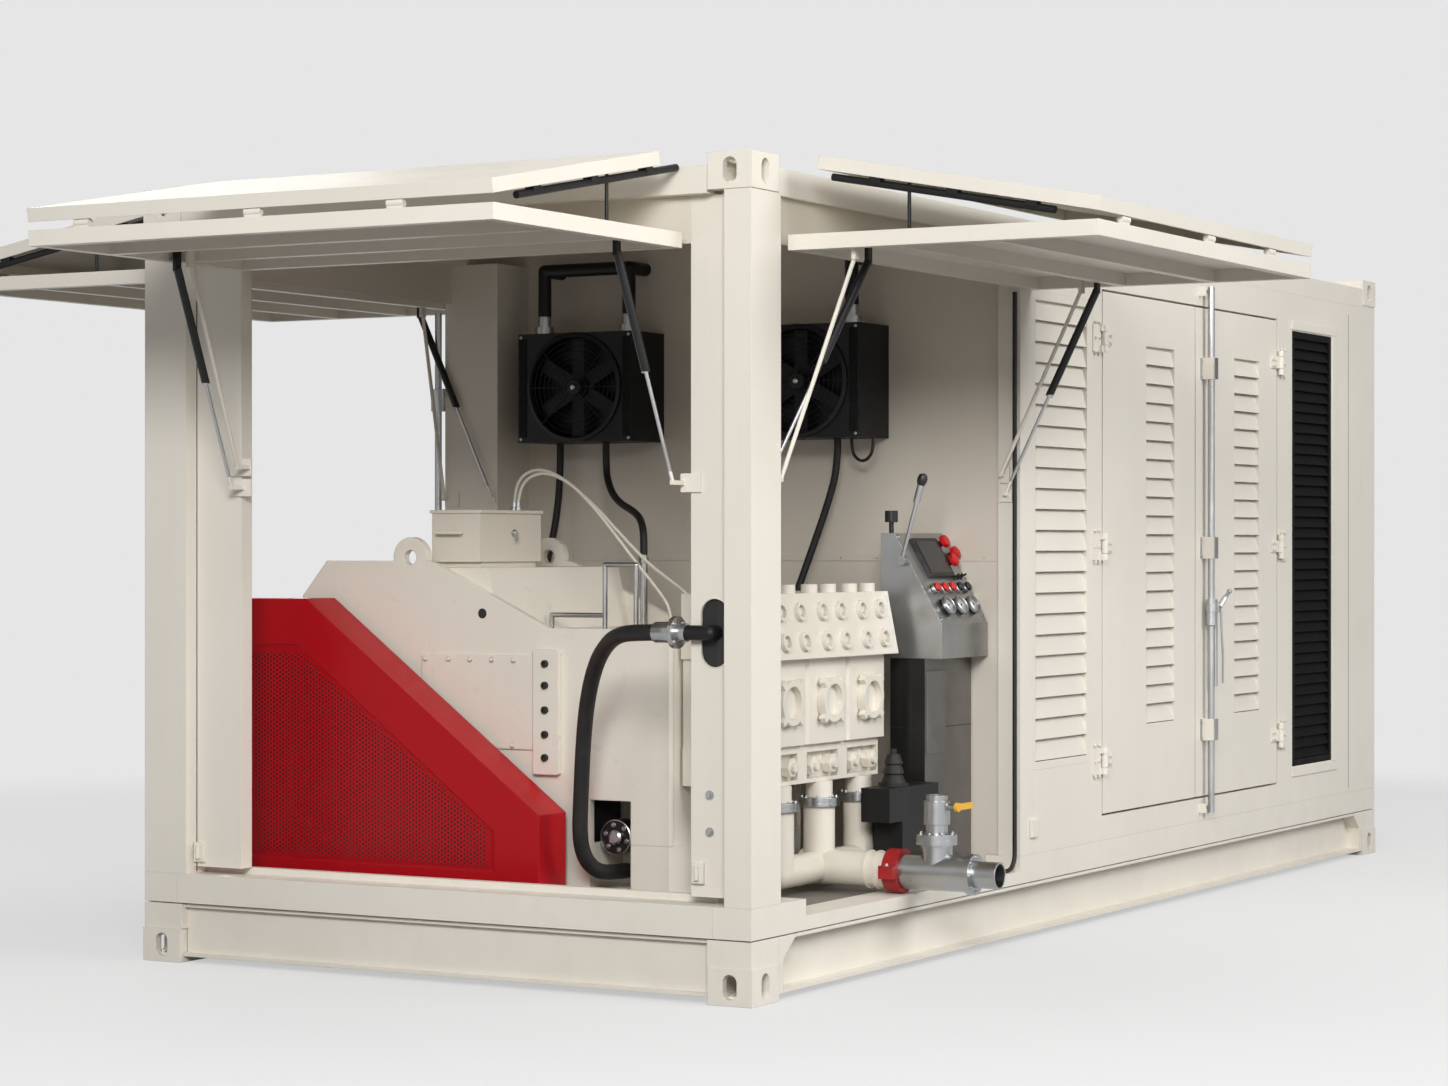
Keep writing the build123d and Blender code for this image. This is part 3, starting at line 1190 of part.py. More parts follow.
def pipe_fittings():
    """Steel fittings on the coolers, at the hoses' pump ends and at the port union."""
    depth = COOLER_SIZE[0] / 2
    top = COOLER_Z + COOLER_SIZE[2]
    made = []
    for y in FITTING_Y:
        piece = bar((BULKHEAD_X - depth, y, top), (BULKHEAD_X - depth, y, top + 34), COOLANT_R + 12)
        made.append(piece + bar((BULKHEAD_X - depth, y, top), (BULKHEAD_X - depth, y, FITTING_TOP), COOLANT_R))
    end, along = discharge_end()
    start = end + along * TOUCH
    x, y, z = end + along * FERRULE
    ferrule = bar(start, (x, y, z), BIG_HOSE_R + 4) + Pos(x, y, z) * Sphere(BIG_HOSE_R + 4)
    flange = bar((x, y, z), (x, UNION_Y - 16, z), BIG_HOSE_R + 4) + bar((x, UNION_Y, z), (x, UNION_Y - 16, z), 52)
    neck = X0 + JAMB_RECESS - TOUCH - x
    made.append(ferrule + flange + bar((x, UNION_Y - 16, z), (x, UNION_Y - 48, z), neck))
    return made + lube_pipes()


def coolant_pipes():
    """Black pipes from the cooler fittings up to the ceiling, and the nipple into the hose port."""
    x = BULKHEAD_X - COOLER_SIZE[0] / 2
    outer, inner, right = FITTING_Y
    made = []
    riser = bar((x, outer, FITTING_TOP), (x, outer, CEILING_Z), COOLANT_R)
    riser += bar((x, inner, FITTING_TOP), (x, inner, CEILING_Z), COOLANT_R)
    riser += bar((x, outer, CEILING_Z), (x, inner, CEILING_Z), COOLANT_R)
    for y in (outer, inner):
        riser += Pos(x, y, CEILING_Z) * Sphere(COOLANT_R)
        riser += bar((x, y, CEILING_Z), (BULKHEAD_X, y, CEILING_Z), COOLANT_R)
    made.append(riser)
    elbow = bar((x, right, FITTING_TOP), (x, right, CEILING_Z), COOLANT_R)
    elbow += Pos(x, right, CEILING_Z) * Sphere(COOLANT_R)
    made.append(elbow + bar((x, right, CEILING_Z), (BULKHEAD_X, right, CEILING_Z), COOLANT_R))
    end, along = discharge_end()
    x, _, z = end + along * FERRULE
    nipple = bar((x, UNION_Y - 48, z), (x, PORT[0], z), 24) + Pos(x, PORT[0], z) * Sphere(24)
    made.append(nipple + bar((x, PORT[0], z), (X0 + NIPPLE_END, PORT[0], z), 24))
    return made


def bay_seal():
    """The rubber seal down the near column's inner face, turned along the sill."""
    r = SEAL_R
    x = COLUMN[0] - r
    y = Y0 + 19
    z = BAY_SILL_TOP + r
    path = FilletPolyline((x, y, LEAF_BOTTOM - 12), (x, y, z), (x - SEAL_RUN, y, z), radius=SEAL_TURN)
    section = Plane(origin=path @ 0, z_dir=path % 0) * Circle(r)
    return sweep(section, path=path)


def fan(y):
    """The cooler's fan: hub and blades on its shaft."""
    x = BULKHEAD_X - COOLER_SIZE[0] + 20
    z = COOLER_Z + COOLER_SIZE[2] / 2
    wheel = bar((x, y, z), (x + 39.7, y, z), 45)
    for i in range(FAN_BLADES):
        blade = block(x + 12, x + 18, y - 28, y + 28, z + 40, z + FAN_R - FAN_GAP)
        blade = Pos(0, y, z) * (Rot(360 / FAN_BLADES * i, 0, 0) * (Pos(0, -y, -z) * blade))
        wheel += blade
    return wheel


def build_equipment():
    """Console, shift box, coolers, fans, pipes and hoses."""
    x0, x1 = CONSOLE_X
    save("console_pedestal", block(x0, x1, PEDESTAL_Y[0], PEDESTAL_Y[1], FLOOR_TOP, PEDESTAL_TOP))
    save("console_head", console_head())
    save("console_controls", *console_controls())
    save("console_lever", console_lever())
    save("shift_box", shift_box())
    save("rubber_trim", shift_boot(), bay_seal())
    save("coolers", *[cooler(y) for y in COOLER_Y])
    save("fan_left", fan(COOLER_Y[0]))
    save("fan_right", fan(COOLER_Y[1]))
    save("pipe_fittings", *pipe_fittings())
    save("coolant_pipes", *coolant_pipes())
    save("discharge_hose", hose(DISCHARGE_ROUTE, BIG_HOSE_R))
    save("bay_hoses", *[hose(route, HOSE_R) for route in COOLER_ROUTES], *[hose(route, LUBE_R) for route in LUBE_ROUTES])


os.makedirs("parts", exist_ok=True)
build_frame()
build_walls()
build_awnings()
build_pump()
build_equipment()
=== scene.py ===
import json
import math

import bmesh
import bpy
from mathutils import Matrix, Vector


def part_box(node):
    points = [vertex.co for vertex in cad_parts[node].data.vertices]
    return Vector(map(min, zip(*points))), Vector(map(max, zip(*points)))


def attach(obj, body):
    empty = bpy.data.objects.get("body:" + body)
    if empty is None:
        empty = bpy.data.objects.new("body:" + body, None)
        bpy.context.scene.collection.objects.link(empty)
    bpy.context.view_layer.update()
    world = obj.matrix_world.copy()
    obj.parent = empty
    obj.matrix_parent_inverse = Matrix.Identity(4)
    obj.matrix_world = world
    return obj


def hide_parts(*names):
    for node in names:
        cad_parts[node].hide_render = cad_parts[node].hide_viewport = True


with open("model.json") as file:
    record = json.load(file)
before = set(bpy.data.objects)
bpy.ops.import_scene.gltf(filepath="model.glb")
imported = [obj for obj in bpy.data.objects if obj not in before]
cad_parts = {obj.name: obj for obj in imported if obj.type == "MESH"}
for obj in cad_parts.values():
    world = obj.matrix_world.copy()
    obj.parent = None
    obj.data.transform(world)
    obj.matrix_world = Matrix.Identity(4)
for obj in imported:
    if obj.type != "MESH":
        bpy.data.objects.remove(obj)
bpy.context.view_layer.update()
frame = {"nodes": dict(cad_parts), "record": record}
nodes = frame["nodes"]

# The model's origin lies this far along X from the container's middle
SHIFT_X = 0.543

# Camera, fitted to the photograph's corners
CAMERA_PLACE = (-11.5235, -6.2665, 1.4553)
CAMERA_TURN = -60.34
CAMERA_LENS = 81.86
CAMERA_SENSOR = 36
CAMERA_SHIFT_Y = 0.0016

# Heights where a strut's cylinder gives way to its rod, and the rod to its foot
STRUT_SPLIT_Z = 2.004
STRUT_FOOT_Z = 1.69

# Colours, linear
CREAM = (0.77, 0.725, 0.645)
BAY_CREAM = (0.70, 0.64, 0.555)
PUMP_CREAM = (0.75, 0.70, 0.615)
SIGNAL_RED = (0.40, 0.003, 0.008)
COUPLING_RED = (0.34, 0.008, 0.010)
BLACK_PAINT = (0.008, 0.008, 0.0085)
RUBBER = (0.011, 0.0105, 0.0105)
ZINC = (0.45, 0.455, 0.46)
STAINLESS = (0.42, 0.425, 0.43)
PEDESTAL_STEEL = (0.24, 0.24, 0.24)
CAST_GREY = (0.42, 0.425, 0.43)
DECK = (0.17, 0.16, 0.14)
DUST = (0.42, 0.37, 0.30)
BARE_STEEL = (0.30, 0.28, 0.26)
GRIP_YELLOW = (0.80, 0.42, 0.02)

# Directions out of the pump end, out of the operator's side, and up
OUTWARD = (-1, 0, 0)
NEARWARD = (0, -1, 0)
UPWARD = (0, 0, 1)


def at(x, y, z):
    """A point given in millimetres from the container's middle, in the model's metres."""
    return Vector((x / 1000 + SHIFT_X, y / 1000, z / 1000))


def grey(level):
    """An even grey."""
    return (level, level, level)


# Shader node helpers
def socket(group, name, kind, way, value=None):
    """One named input or output of a node group."""
    made = group.interface.new_socket(name=name, in_out=way, socket_type="NodeSocket" + kind)
    if value is not None:
        made.default_value = value


def surface_outputs(group):
    """The three outputs of every surface group."""
    socket(group, "Colour", "Color", "OUTPUT")
    socket(group, "Roughness", "Float", "OUTPUT")
    socket(group, "Height", "Float", "OUTPUT")


def add(tree, kind, **values):
    """A node of the given kind, with settings and unlinked socket values."""
    node = tree.nodes.new(kind)
    for name, value in values.items():
        if name in node.inputs:
            node.inputs[name].default_value = value
        else:
            setattr(node, name, value)
    return node


def maths(tree, operation, first, second=None, clamp=False):
    """A Math node fed by sockets or numbers. Returns its output."""
    node = tree.nodes.new("ShaderNodeMath")
    node.operation = operation
    node.use_clamp = clamp
    for slot, value in zip(node.inputs, (first, second)):
        if isinstance(value, bpy.types.NodeSocket):
            tree.links.new(value, slot)
        elif value is not None:
            slot.default_value = value
    return node.outputs[0]


def blend_colour(tree, factor, first, second, kind="MIX"):
    """A colour mix fed by sockets or colours. Returns its output."""
    node = tree.nodes.new("ShaderNodeMix")
    node.data_type = "RGBA"
    node.blend_type = kind
    for slot, value in ((node.inputs[0], factor), (node.inputs[6], first), (node.inputs[7], second)):
        if isinstance(value, bpy.types.NodeSocket):
            tree.links.new(value, slot)
        elif isinstance(value, (tuple, list)):
            slot.default_value = (*value[:3], 1)
        else:
            slot.default_value = value
    return node.outputs[2]


def ramp(tree, value, low, high):
    """Maps a value from low..high to 0..1, clamped."""
    node = tree.nodes.new("ShaderNodeMapRange")
    tree.links.new(value, node.inputs["Value"])
    node.inputs["From Min"].default_value = low
    node.inputs["From Max"].default_value = high
    return node.outputs["Result"]


def noise(tree, place, scale, detail=4, stretch=None):
    """Noise read at a place, which may be stretched first. Returns its value."""
    if stretch:
        mapping = add(tree, "ShaderNodeMapping", Scale=stretch)
        tree.links.new(place, mapping.inputs["Vector"])
        place = mapping.outputs[0]
    node = add(tree, "ShaderNodeTexNoise", Scale=scale, Detail=detail)
    tree.links.new(place, node.inputs["Vector"])
    return node.outputs["Fac"]


def start_group(name):
    """An empty shader node group with its input and output nodes."""
    group = bpy.data.node_groups.new(name, "ShaderNodeTree")
    return group, group.nodes.new("NodeGroupInput"), group.nodes.new("NodeGroupOutput")


def make_soft_edges():
    """Rounds the look of sharp edges and finds them: a normal and an edge mask."""
    group, given, result = start_group("soft_edges")
    socket(group, "Radius", "Float", "INPUT", 0.003)
    socket(group, "Normal", "Vector", "OUTPUT")
    socket(group, "Edge", "Float", "OUTPUT")
    bevel = add(group, "ShaderNodeBevel", samples=4)
    geometry = add(group, "ShaderNodeNewGeometry")
    dot = add(group, "ShaderNodeVectorMath", operation="DOT_PRODUCT")
    group.links.new(given.outputs["Radius"], bevel.inputs["Radius"])
    group.links.new(bevel.outputs["Normal"], dot.inputs[0])
    group.links.new(geometry.outputs["Normal"], dot.inputs[1])
    edge = maths(group, "SUBTRACT", 1.0, dot.outputs["Value"])
    group.links.new(bevel.outputs["Normal"], result.inputs["Normal"])
    group.links.new(ramp(group, edge, 0.02, 0.28), result.inputs["Edge"])
    return group


def make_worn_paint():
    """Paint with tone drift, dust low down, faint rain streaks, chips on edges and orange peel."""
    group, given, result = start_group("worn_paint")
    for name, colour in (("Paint", CREAM), ("Bare", BARE_STEEL), ("Dust", DUST)):
        socket(group, name, "Color", "INPUT", (*colour, 1))
    for name, value in (("Edge", 0), ("Chips", 0.5), ("Dusting", 0.3), ("Gloss", 0.35)):
        socket(group, name, "Float", "INPUT", value)
    surface_outputs(group)
    place = add(group, "ShaderNodeTexCoord").outputs["Object"]
    drift = noise(group, place, 1.1, 3)
    blotch = noise(group, place, 9, 5)
    streak = noise(group, place, 26, 3, (1, 1, 0.05))
    speck = noise(group, place, 160, 3)
    peel = noise(group, place, 900, 1)
    apart = add(group, "ShaderNodeSeparateXYZ")
    group.links.new(place, apart.inputs[0])
    low_down = ramp(group, apart.outputs["Z"], 0.75, 0.02)
    tone = blend_colour(group, ramp(group, drift, 0.35, 0.65), (0.95, 0.95, 0.94), (1.0, 1.0, 1.0))
    colour = blend_colour(group, 1.0, given.outputs["Paint"], tone, "MULTIPLY")
    dirt = maths(group, "MULTIPLY", ramp(group, blotch, 0.35, 0.75), low_down)
    rain = maths(group, "MULTIPLY", ramp(group, streak, 0.56, 0.8), 0.35)
    dirt = maths(group, "ADD", dirt, rain)
    dirt = maths(group, "MULTIPLY", dirt, given.outputs["Dusting"], True)
    colour = blend_colour(group, dirt, colour, given.outputs["Dust"])
    chipped = maths(group, "MULTIPLY", ramp(group, speck, 0.57, 0.64), given.outputs["Edge"])
    chipped = maths(group, "MULTIPLY", chipped, given.outputs["Chips"], True)
    colour = blend_colour(group, chipped, colour, given.outputs["Bare"])
    group.links.new(colour, result.inputs["Colour"])
    rough = maths(group, "MULTIPLY", ramp(group, blotch, 0.3, 0.8), 0.12)
    rough = maths(group, "ADD", rough, given.outputs["Gloss"])
    rough = maths(group, "ADD", rough, maths(group, "MULTIPLY", dirt, 0.25), True)
    group.links.new(rough, result.inputs["Roughness"])
    height = maths(group, "MULTIPLY", peel, 0.00006)
    height = maths(group, "ADD", height, maths(group, "MULTIPLY", drift, 0.0012))
    height = maths(group, "SUBTRACT", height, maths(group, "MULTIPLY", chipped, 0.0001))
    group.links.new(height, result.inputs["Height"])
    return group


def make_metal_grain():
    """Bare metal with a brushed or cast grain: colour, roughness and height."""
    group, given, result = start_group("metal_grain")
    socket(group, "Metal", "Color", "INPUT", (*ZINC, 1))
    socket(group, "Stretch", "Vector", "INPUT", (1, 1, 1))
    for name, value in (("Grain Scale", 300), ("Grain Depth", 0.0001), ("Base Roughness", 0.3)):
        socket(group, name, "Float", "INPUT", value)
    surface_outputs(group)
    place = add(group, "ShaderNodeTexCoord").outputs["Object"]
    mapping = add(group, "ShaderNodeMapping")
    group.links.new(place, mapping.inputs["Vector"])
    group.links.new(given.outputs["Stretch"], mapping.inputs["Scale"])
    grain = add(group, "ShaderNodeTexNoise", Detail=3)
    group.links.new(mapping.outputs[0], grain.inputs["Vector"])
    group.links.new(given.outputs["Grain Scale"], grain.inputs["Scale"])
    smear = noise(group, place, 7, 4)
    tone = blend_colour(group, ramp(group, smear, 0.3, 0.7), (0.86, 0.86, 0.86), (1.05, 1.05, 1.05))
    colour = blend_colour(group, 1.0, given.outputs["Metal"], tone, "MULTIPLY")
    fine = blend_colour(group, grain.outputs["Fac"], (0.9, 0.9, 0.9), (1.08, 1.08, 1.08))
    group.links.new(blend_colour(group, 1.0, colour, fine, "MULTIPLY"), result.inputs["Colour"])
    rough = maths(group, "ADD", given.outputs["Base Roughness"], maths(group, "MULTIPLY", smear, 0.2))
    group.links.new(rough, result.inputs["Roughness"])
    height = maths(group, "MULTIPLY", grain.outputs["Fac"], given.outputs["Grain Depth"])
    group.links.new(height, result.inputs["Height"])
    return group


def make_rubber_skin():
    """Rubber with a fine wrapped texture and light dust: colour, roughness and height."""
    group, given, result = start_group("rubber_skin")
    socket(group, "Rubber", "Color", "INPUT", (*RUBBER, 1))
    surface_outputs(group)
    place = add(group, "ShaderNodeTexCoord").outputs["Object"]
    bloom = noise(group, place, 14, 5)
    weave = noise(group, place, 420, 2)
    colour = blend_colour(group, maths(group, "MULTIPLY", ramp(group, bloom, 0.45, 0.8), 0.03),
                          given.outputs["Rubber"], DUST)
    group.links.new(colour, result.inputs["Colour"])
    rough = maths(group, "ADD", maths(group, "MULTIPLY", bloom, 0.25), 0.42)
    group.links.new(rough, result.inputs["Roughness"])
    group.links.new(maths(group, "MULTIPLY", weave, 0.0004), result.inputs["Height"])
    return group


def make_box_mask():
    """A mask that is 1 inside a box given by two corners, in the model's frame."""
    group, given, result = start_group("box_mask")
    socket(group, "Low", "Vector", "INPUT", (0, 0, 0))
    socket(group, "High", "Vector", "INPUT", (1, 1, 1))
    socket(group, "Mask", "Float", "OUTPUT")
    place = add(group, "ShaderNodeTexCoord").outputs["Object"]
    mask = None
    for name, first, second in (("Low", place, None), ("High", None, place)):
        limit = given.outputs[name]
        gap = add(group, "ShaderNodeVectorMath", operation="SUBTRACT")
        group.links.new(first or limit, gap.inputs[0])
        group.links.new(second or limit, gap.inputs[1])
        apart = add(group, "ShaderNodeSeparateXYZ")
        group.links.new(gap.outputs[0], apart.inputs[0])
        for axis in apart.outputs:
            ahead = maths(group, "GREATER_THAN", axis, 0.0)
            mask = ahead if mask is None else maths(group, "MULTIPLY", mask, ahead)
    group.links.new(mask, result.inputs["Mask"])
    return group


soft_edges = make_soft_edges()
worn_paint = make_worn_paint()
metal_grain = make_metal_grain()
rubber_skin = make_rubber_skin()
box_mask = make_box_mask()


def start_material(name, metallic=0.0, shine=0.5):
    """A new material with its Principled shader."""
    material = bpy.data.materials.new(name)
    material.use_nodes = True
    tree = material.node_tree
    shader = tree.nodes["Principled BSDF"]
    shader.inputs["Metallic"].default_value = metallic
    shader.inputs["Specular IOR Level"].default_value = shine
    return material, tree, shader


def place_group(tree, group, **values):
    """A node group placed in a material with its own values, named with underscores for spaces."""
    node = tree.nodes.new("ShaderNodeGroup")
    node.node_tree = group
    for name, value in values.items():
        node.inputs[name.replace("_", " ")].default_value = value
    return node


def finish_surface(tree, shader, surface, radius, strength=1.0):
    """Feeds the shader from a surface group, with soft edges under its bump."""
    edges = place_group(tree, soft_edges, Radius=radius)
    bump = add(tree, "ShaderNodeBump", Strength=strength, Distance=1.0)
    tree.links.new(edges.outputs["Normal"], bump.inputs["Normal"])
    tree.links.new(surface.outputs["Height"], bump.inputs["Height"])
    tree.links.new(surface.outputs["Colour"], shader.inputs["Base Color"])
    tree.links.new(surface.outputs["Roughness"], shader.inputs["Roughness"])
    tree.links.new(bump.outputs["Normal"], shader.inputs["Normal"])
    return edges


def paint(name, colour, gloss=0.34, chips=0.5, dusting=0.12, radius=0.003, bare=BARE_STEEL, shine=0.4):
    """A painted metal finish."""
    material, tree, shader = start_material(name, shine=shine)
    surface = place_group(tree, worn_paint, Paint=(*colour, 1), Bare=(*bare, 1), Chips=chips,
                          Dusting=dusting, Gloss=gloss)
    edges = finish_surface(tree, shader, surface, radius)
    tree.links.new(edges.outputs["Edge"], surface.inputs["Edge"])
    return material


def metal(name, colour, stretch=(1, 1, 1), scale=300, depth=0.0001, rough=0.28, metallic=1.0, radius=0.002):
    """A bare metal finish."""
    material, tree, shader = start_material(name, metallic)
    surface = place_group(tree, metal_grain, Metal=(*colour, 1), Stretch=stretch, Grain_Scale=scale,
                          Grain_Depth=depth, Base_Roughness=rough)
    finish_surface(tree, shader, surface, radius)
    return material


def rubber(name, colour=RUBBER):
    """A rubber finish."""
    material, tree, shader = start_material(name, shine=0.3)
    surface = place_group(tree, rubber_skin, Rubber=(*colour, 1))
    finish_surface(tree, shader, surface, 0.001)
    return material


def plastic(name, colour, rough=0.35):
    """A moulded plastic finish for small controls."""
    material, tree, shader = start_material(name)
    surface = place_group(tree, worn_paint, Paint=(*colour, 1), Bare=(*colour, 1), Chips=0.0,
                          Dusting=0.15, Gloss=rough)
    finish_surface(tree, shader, surface, 0.001)
    return material


def masked_paint(name, colour, boxes, second, second_metal=0.0, gloss=0.34):
    """Paint with a second colour or metal inside the given boxes."""
    material, tree, shader = start_material(name, shine=0.4)
    painted = place_group(tree, worn_paint, Paint=(*colour, 1), Chips=0.3, Dusting=0.1, Gloss=gloss)
    plated = place_group(tree, metal_grain, Metal=(*second, 1), Base_Roughness=0.24)
    edges = finish_surface(tree, shader, painted, 0.003)
    tree.links.new(edges.outputs["Edge"], painted.inputs["Edge"])
    mask = None
    for low, high in boxes:
        found = place_group(tree, box_mask, Low=tuple(low), High=tuple(high)).outputs["Mask"]
        mask = found if mask is None else maths(tree, "MAXIMUM", mask, found)
    mixed = blend_colour(tree, mask, painted.outputs["Colour"], plated.outputs["Colour"])
    tree.links.new(mixed, shader.inputs["Base Color"])
    tree.links.new(maths(tree, "MULTIPLY", mask, second_metal), shader.inputs["Metallic"])
    return material


def strut_look(name):
    """Black cylinders above, plated rods below and cream feet on the frame."""
    material, tree, shader = start_material(name, shine=0.3)
    place = add(tree, "ShaderNodeTexCoord").outputs["Object"]
    apart = add(tree, "ShaderNodeSeparateXYZ")
    tree.links.new(place, apart.inputs[0])
    rod = maths(tree, "LESS_THAN", apart.outputs["Z"], STRUT_SPLIT_Z)
    foot = maths(tree, "LESS_THAN", apart.outputs["Z"], STRUT_FOOT_Z)
    painted = place_group(tree, worn_paint, Paint=(*BLACK_PAINT, 1), Chips=0.2, Dusting=0.05, Gloss=0.3)
    plated = place_group(tree, metal_grain, Metal=(*ZINC, 1), Base_Roughness=0.18)
    colour = blend_colour(tree, rod, painted.outputs["Colour"], plated.outputs["Colour"])
    tree.links.new(blend_colour(tree, foot, colour, CREAM), shader.inputs["Base Color"])
    tree.links.new(maths(tree, "SUBTRACT", rod, foot), shader.inputs["Metallic"])
    tree.links.new(painted.outputs["Roughness"], shader.inputs["Roughness"])
    return material


cream = paint("cream_enamel", CREAM)
bay_cream = paint("bay_enamel", BAY_CREAM, gloss=0.42, chips=0.3)
pump_cream = paint("pump_enamel", PUMP_CREAM, gloss=0.26, chips=0.35, radius=0.006, shine=0.5)
guard_red = paint("guard_red", SIGNAL_RED, gloss=0.34, chips=0.1, dusting=0.0, radius=0.008, shine=0.25)
coupling_red = paint("coupling_red", COUPLING_RED, gloss=0.45, chips=0.5, dusting=0.1, shine=0.3)
black = paint("black_enamel", BLACK_PAINT, gloss=0.4, chips=0.2, dusting=0.02, shine=0.25)
deck = paint("deck_paint", DECK, gloss=0.5, chips=0.8, dusting=0.4)
zinc = metal("zinc_plate", ZINC, scale=120, rough=0.26)
stainless = metal("stainless_sheet", STAINLESS, stretch=(1, 1, 30), scale=40, rough=0.26, depth=0.00008)
cast = metal("cast_metal", CAST_GREY, scale=260, depth=0.0003, rough=0.2)
tube_steel = metal("plated_tube", ZINC, stretch=(30, 30, 1), scale=30, rough=0.2)
dark_steel = metal("dark_fitting", (0.42, 0.42, 0.425), scale=150, rough=0.16)
hose_rubber = rubber("hose_rubber")
trim_rubber = rubber("trim_rubber", (0.010, 0.0095, 0.0095))
red_plastic = plastic("red_button", (0.55, 0.006, 0.008))
black_plastic = plastic("black_plastic", (0.01, 0.01, 0.011))
yellow_plastic = plastic("yellow_grip", GRIP_YELLOW, 0.4)
white_face = plastic("dial_face", (0.38, 0.38, 0.37), 0.3)
# Near-black: painted shade in the side plate's sight hole and behind the hose port, and also the dark joint
# lines and black socket screws
dark_hole = plastic("dark_hole", (0.01, 0.01, 0.01), 0.7)
cable_cream = plastic("cream_line", (0.60, 0.56, 0.48), 0.4)
# Painted shade: the dark red seen through the guard's holes, standing in for the shaded inside of the guard
guard_shade_red = plastic("guard_painted_shade", (0.03, 0.001, 0.002), 0.8)
screen_glass = plastic("display_glass", (0.008, 0.009, 0.012), 0.08)
strut_finish = strut_look("strut_finish")
far_side = (at(-1300, 1221.6, 300), at(2000, 1320, 2600))
far_door = masked_paint("far_door_finish", CREAM, [far_side], ZINC, 1.0)
drive_bay = (at(-2500, -420, 265), at(-2236, -249, 582))
pump_body = masked_paint("pump_body", PUMP_CREAM, [drive_bay], (0.02, 0.02, 0.02), 0.6, 0.26)
cabinet_door = (at(-1346, -1011, 690), at(-1190, -997, 1010))
valve_nuts = (at(-2500, -1000, 640), at(-1300, -500, 745))
cover_look = masked_paint("cover_look", PUMP_CREAM, [valve_nuts], ZINC, 1.0, 0.26)
neck_flanges = (at(-2500, -1000, 545), at(-1300, -700, 577))
fluid_look = masked_paint("fluid_look", PUMP_CREAM, [neck_flanges], CAST_GREY, 1.0, 0.26)
radiator_black = paint("radiator_black", (0.004, 0.004, 0.004), gloss=0.6, chips=0.0, dusting=0.0, shine=0.08)
panel_parts = masked_paint("panel_parts", BLACK_PAINT, [cabinet_door], PEDESTAL_STEEL, 1.0)
# The pedestal is steel inside this box; outside it, its side facing the pump end is near-black: painted shade
pedestal_front = (at(-1344, -1100, 200), at(-900, -700, 1100))
pedestal_steel_and_shade = masked_paint("pedestal_steel_and_shade", BLACK_PAINT, [pedestal_front], PEDESTAL_STEEL, 1.0, 0.3)

FINISH = {
    "cream_paint": cream,
    "inner_cream": bay_cream,
    "pump_cream": pump_cream,
    "red_paint": guard_red,
    "black_metal": black,
    "steel": zinc,
    "cast_grey": cast,
    "black_rubber": trim_rubber,
    "stainless": stainless,
    "deck": deck,
    "yellow_grip": yellow_plastic,
}
OWN_FINISH = {
    "red_coupling": coupling_red,
    "awning_struts": strut_finish,
    "far_doors": far_door,
    "power_end": pump_body,
    "valve_covers": cover_look,
    "fluid_end": fluid_look,
    "suction_manifold": fluid_look,
    "radiator_grilles": radiator_black,
    "console_controls": panel_parts,
    "console_pedestal": pedestal_steel_and_shade,
    "pipe_fittings": dark_steel,
    "lock_bar": tube_steel,
}
for part in frame["record"]["subparts"]:
    node = nodes[part["node"]]
    node.data.materials.clear()
    node.data.materials.append(OWN_FINISH.get(part["node"], FINISH[part["material_slot"]]))


# Mesh helpers
def stand(name, data):
    """A new object, put into the scene."""
    made = bpy.data.objects.new(name, data)
    bpy.context.scene.collection.objects.link(made)
    return made


def piece(name, mesh_maker, material, body="unit", smooth=False):
    """A piece built with bmesh, in the model's frame, that rides a body."""
    mesh = bpy.data.meshes.new(name)
    work = bmesh.new()
    mesh_maker(work)
    bmesh.ops.recalc_face_normals(work, faces=work.faces)
    work.to_mesh(mesh)
    work.free()
    if smooth:
        mesh.shade_smooth()
        mesh.set_sharp_from_angle(angle=math.radians(35))
    mesh.materials.append(material)
    made = stand(name, mesh)
    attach(made, body)


def aim(place, axis):
    """A matrix that stands a shape made along Z at a place, along an axis."""
    turn = Vector((0, 0, 1)).rotation_difference(Vector(axis)).to_matrix().to_4x4()
    return Matrix.Translation(Vector(place)) @ turn


def lathe(work, profile, matrix, sides=24):
    """A turned shape from a list of radius and height pairs, closed on the axis where the radius is 0."""
    rings = []
    for radius, height in profile:
        if radius == 0:
            rings.append([work.verts.new(matrix @ Vector((0, 0, height)))])
            continue
        circle = []
        for i in range(sides):
            turn = 2 * math.pi * i / sides
            place = Vector((radius * math.cos(turn), radius * math.sin(turn), height))
            circle.append(work.verts.new(matrix @ place))
        rings.append(circle)
    for low, high in zip(rings, rings[1:]):
        for i in range(sides):
            j = (i + 1) % sides
            if len(low) == 1 and len(high) > 1:
                work.faces.new((low[0], high[i], high[j]))
            elif len(high) == 1 and len(low) > 1:
                work.faces.new((low[i], low[j], high[0]))
            elif len(low) > 1:
                work.faces.new((low[i], low[j], high[j], high[i]))


def hex_bolt(work, place, axis, across):
    """A hexagon bolt head on a washer, with a chamfered top."""
    matrix = aim(place, axis)
    thick = across * 0.16
    head = across * 0.62
    lathe(work, [(0, 0), (across * 0.85, 0), (across * 0.85, thick), (0, thick)], matrix, 20)
    shoulder = across * 0.58
    profile = [(0, thick), (shoulder, thick), (shoulder, thick + head * 0.8), (across * 0.48, thick + head)]
    lathe(work, profile + [(0, thick + head)], matrix, 6)


def socket_bolt(work, place, axis, radius):
    """A round cap screw with a hexagon socket."""
    matrix = aim(place, axis)
    high = radius * 0.9
    outer = [(0, 0), (radius, 0), (radius, high * 0.85), (radius * 0.85, high), (radius * 0.5, high)]
    lathe(work, outer + [(radius * 0.5, high * 0.4), (0, high * 0.4)], matrix, 18)


def flat_disc(work, place, axis, radius):
    """A thin flat disc of painted shade, for a hole's dark mouth."""
    lathe(work, [(0, 0.0006), (radius, 0.0006), (radius * 1.12, 0.0002)], aim(place, axis), 24)


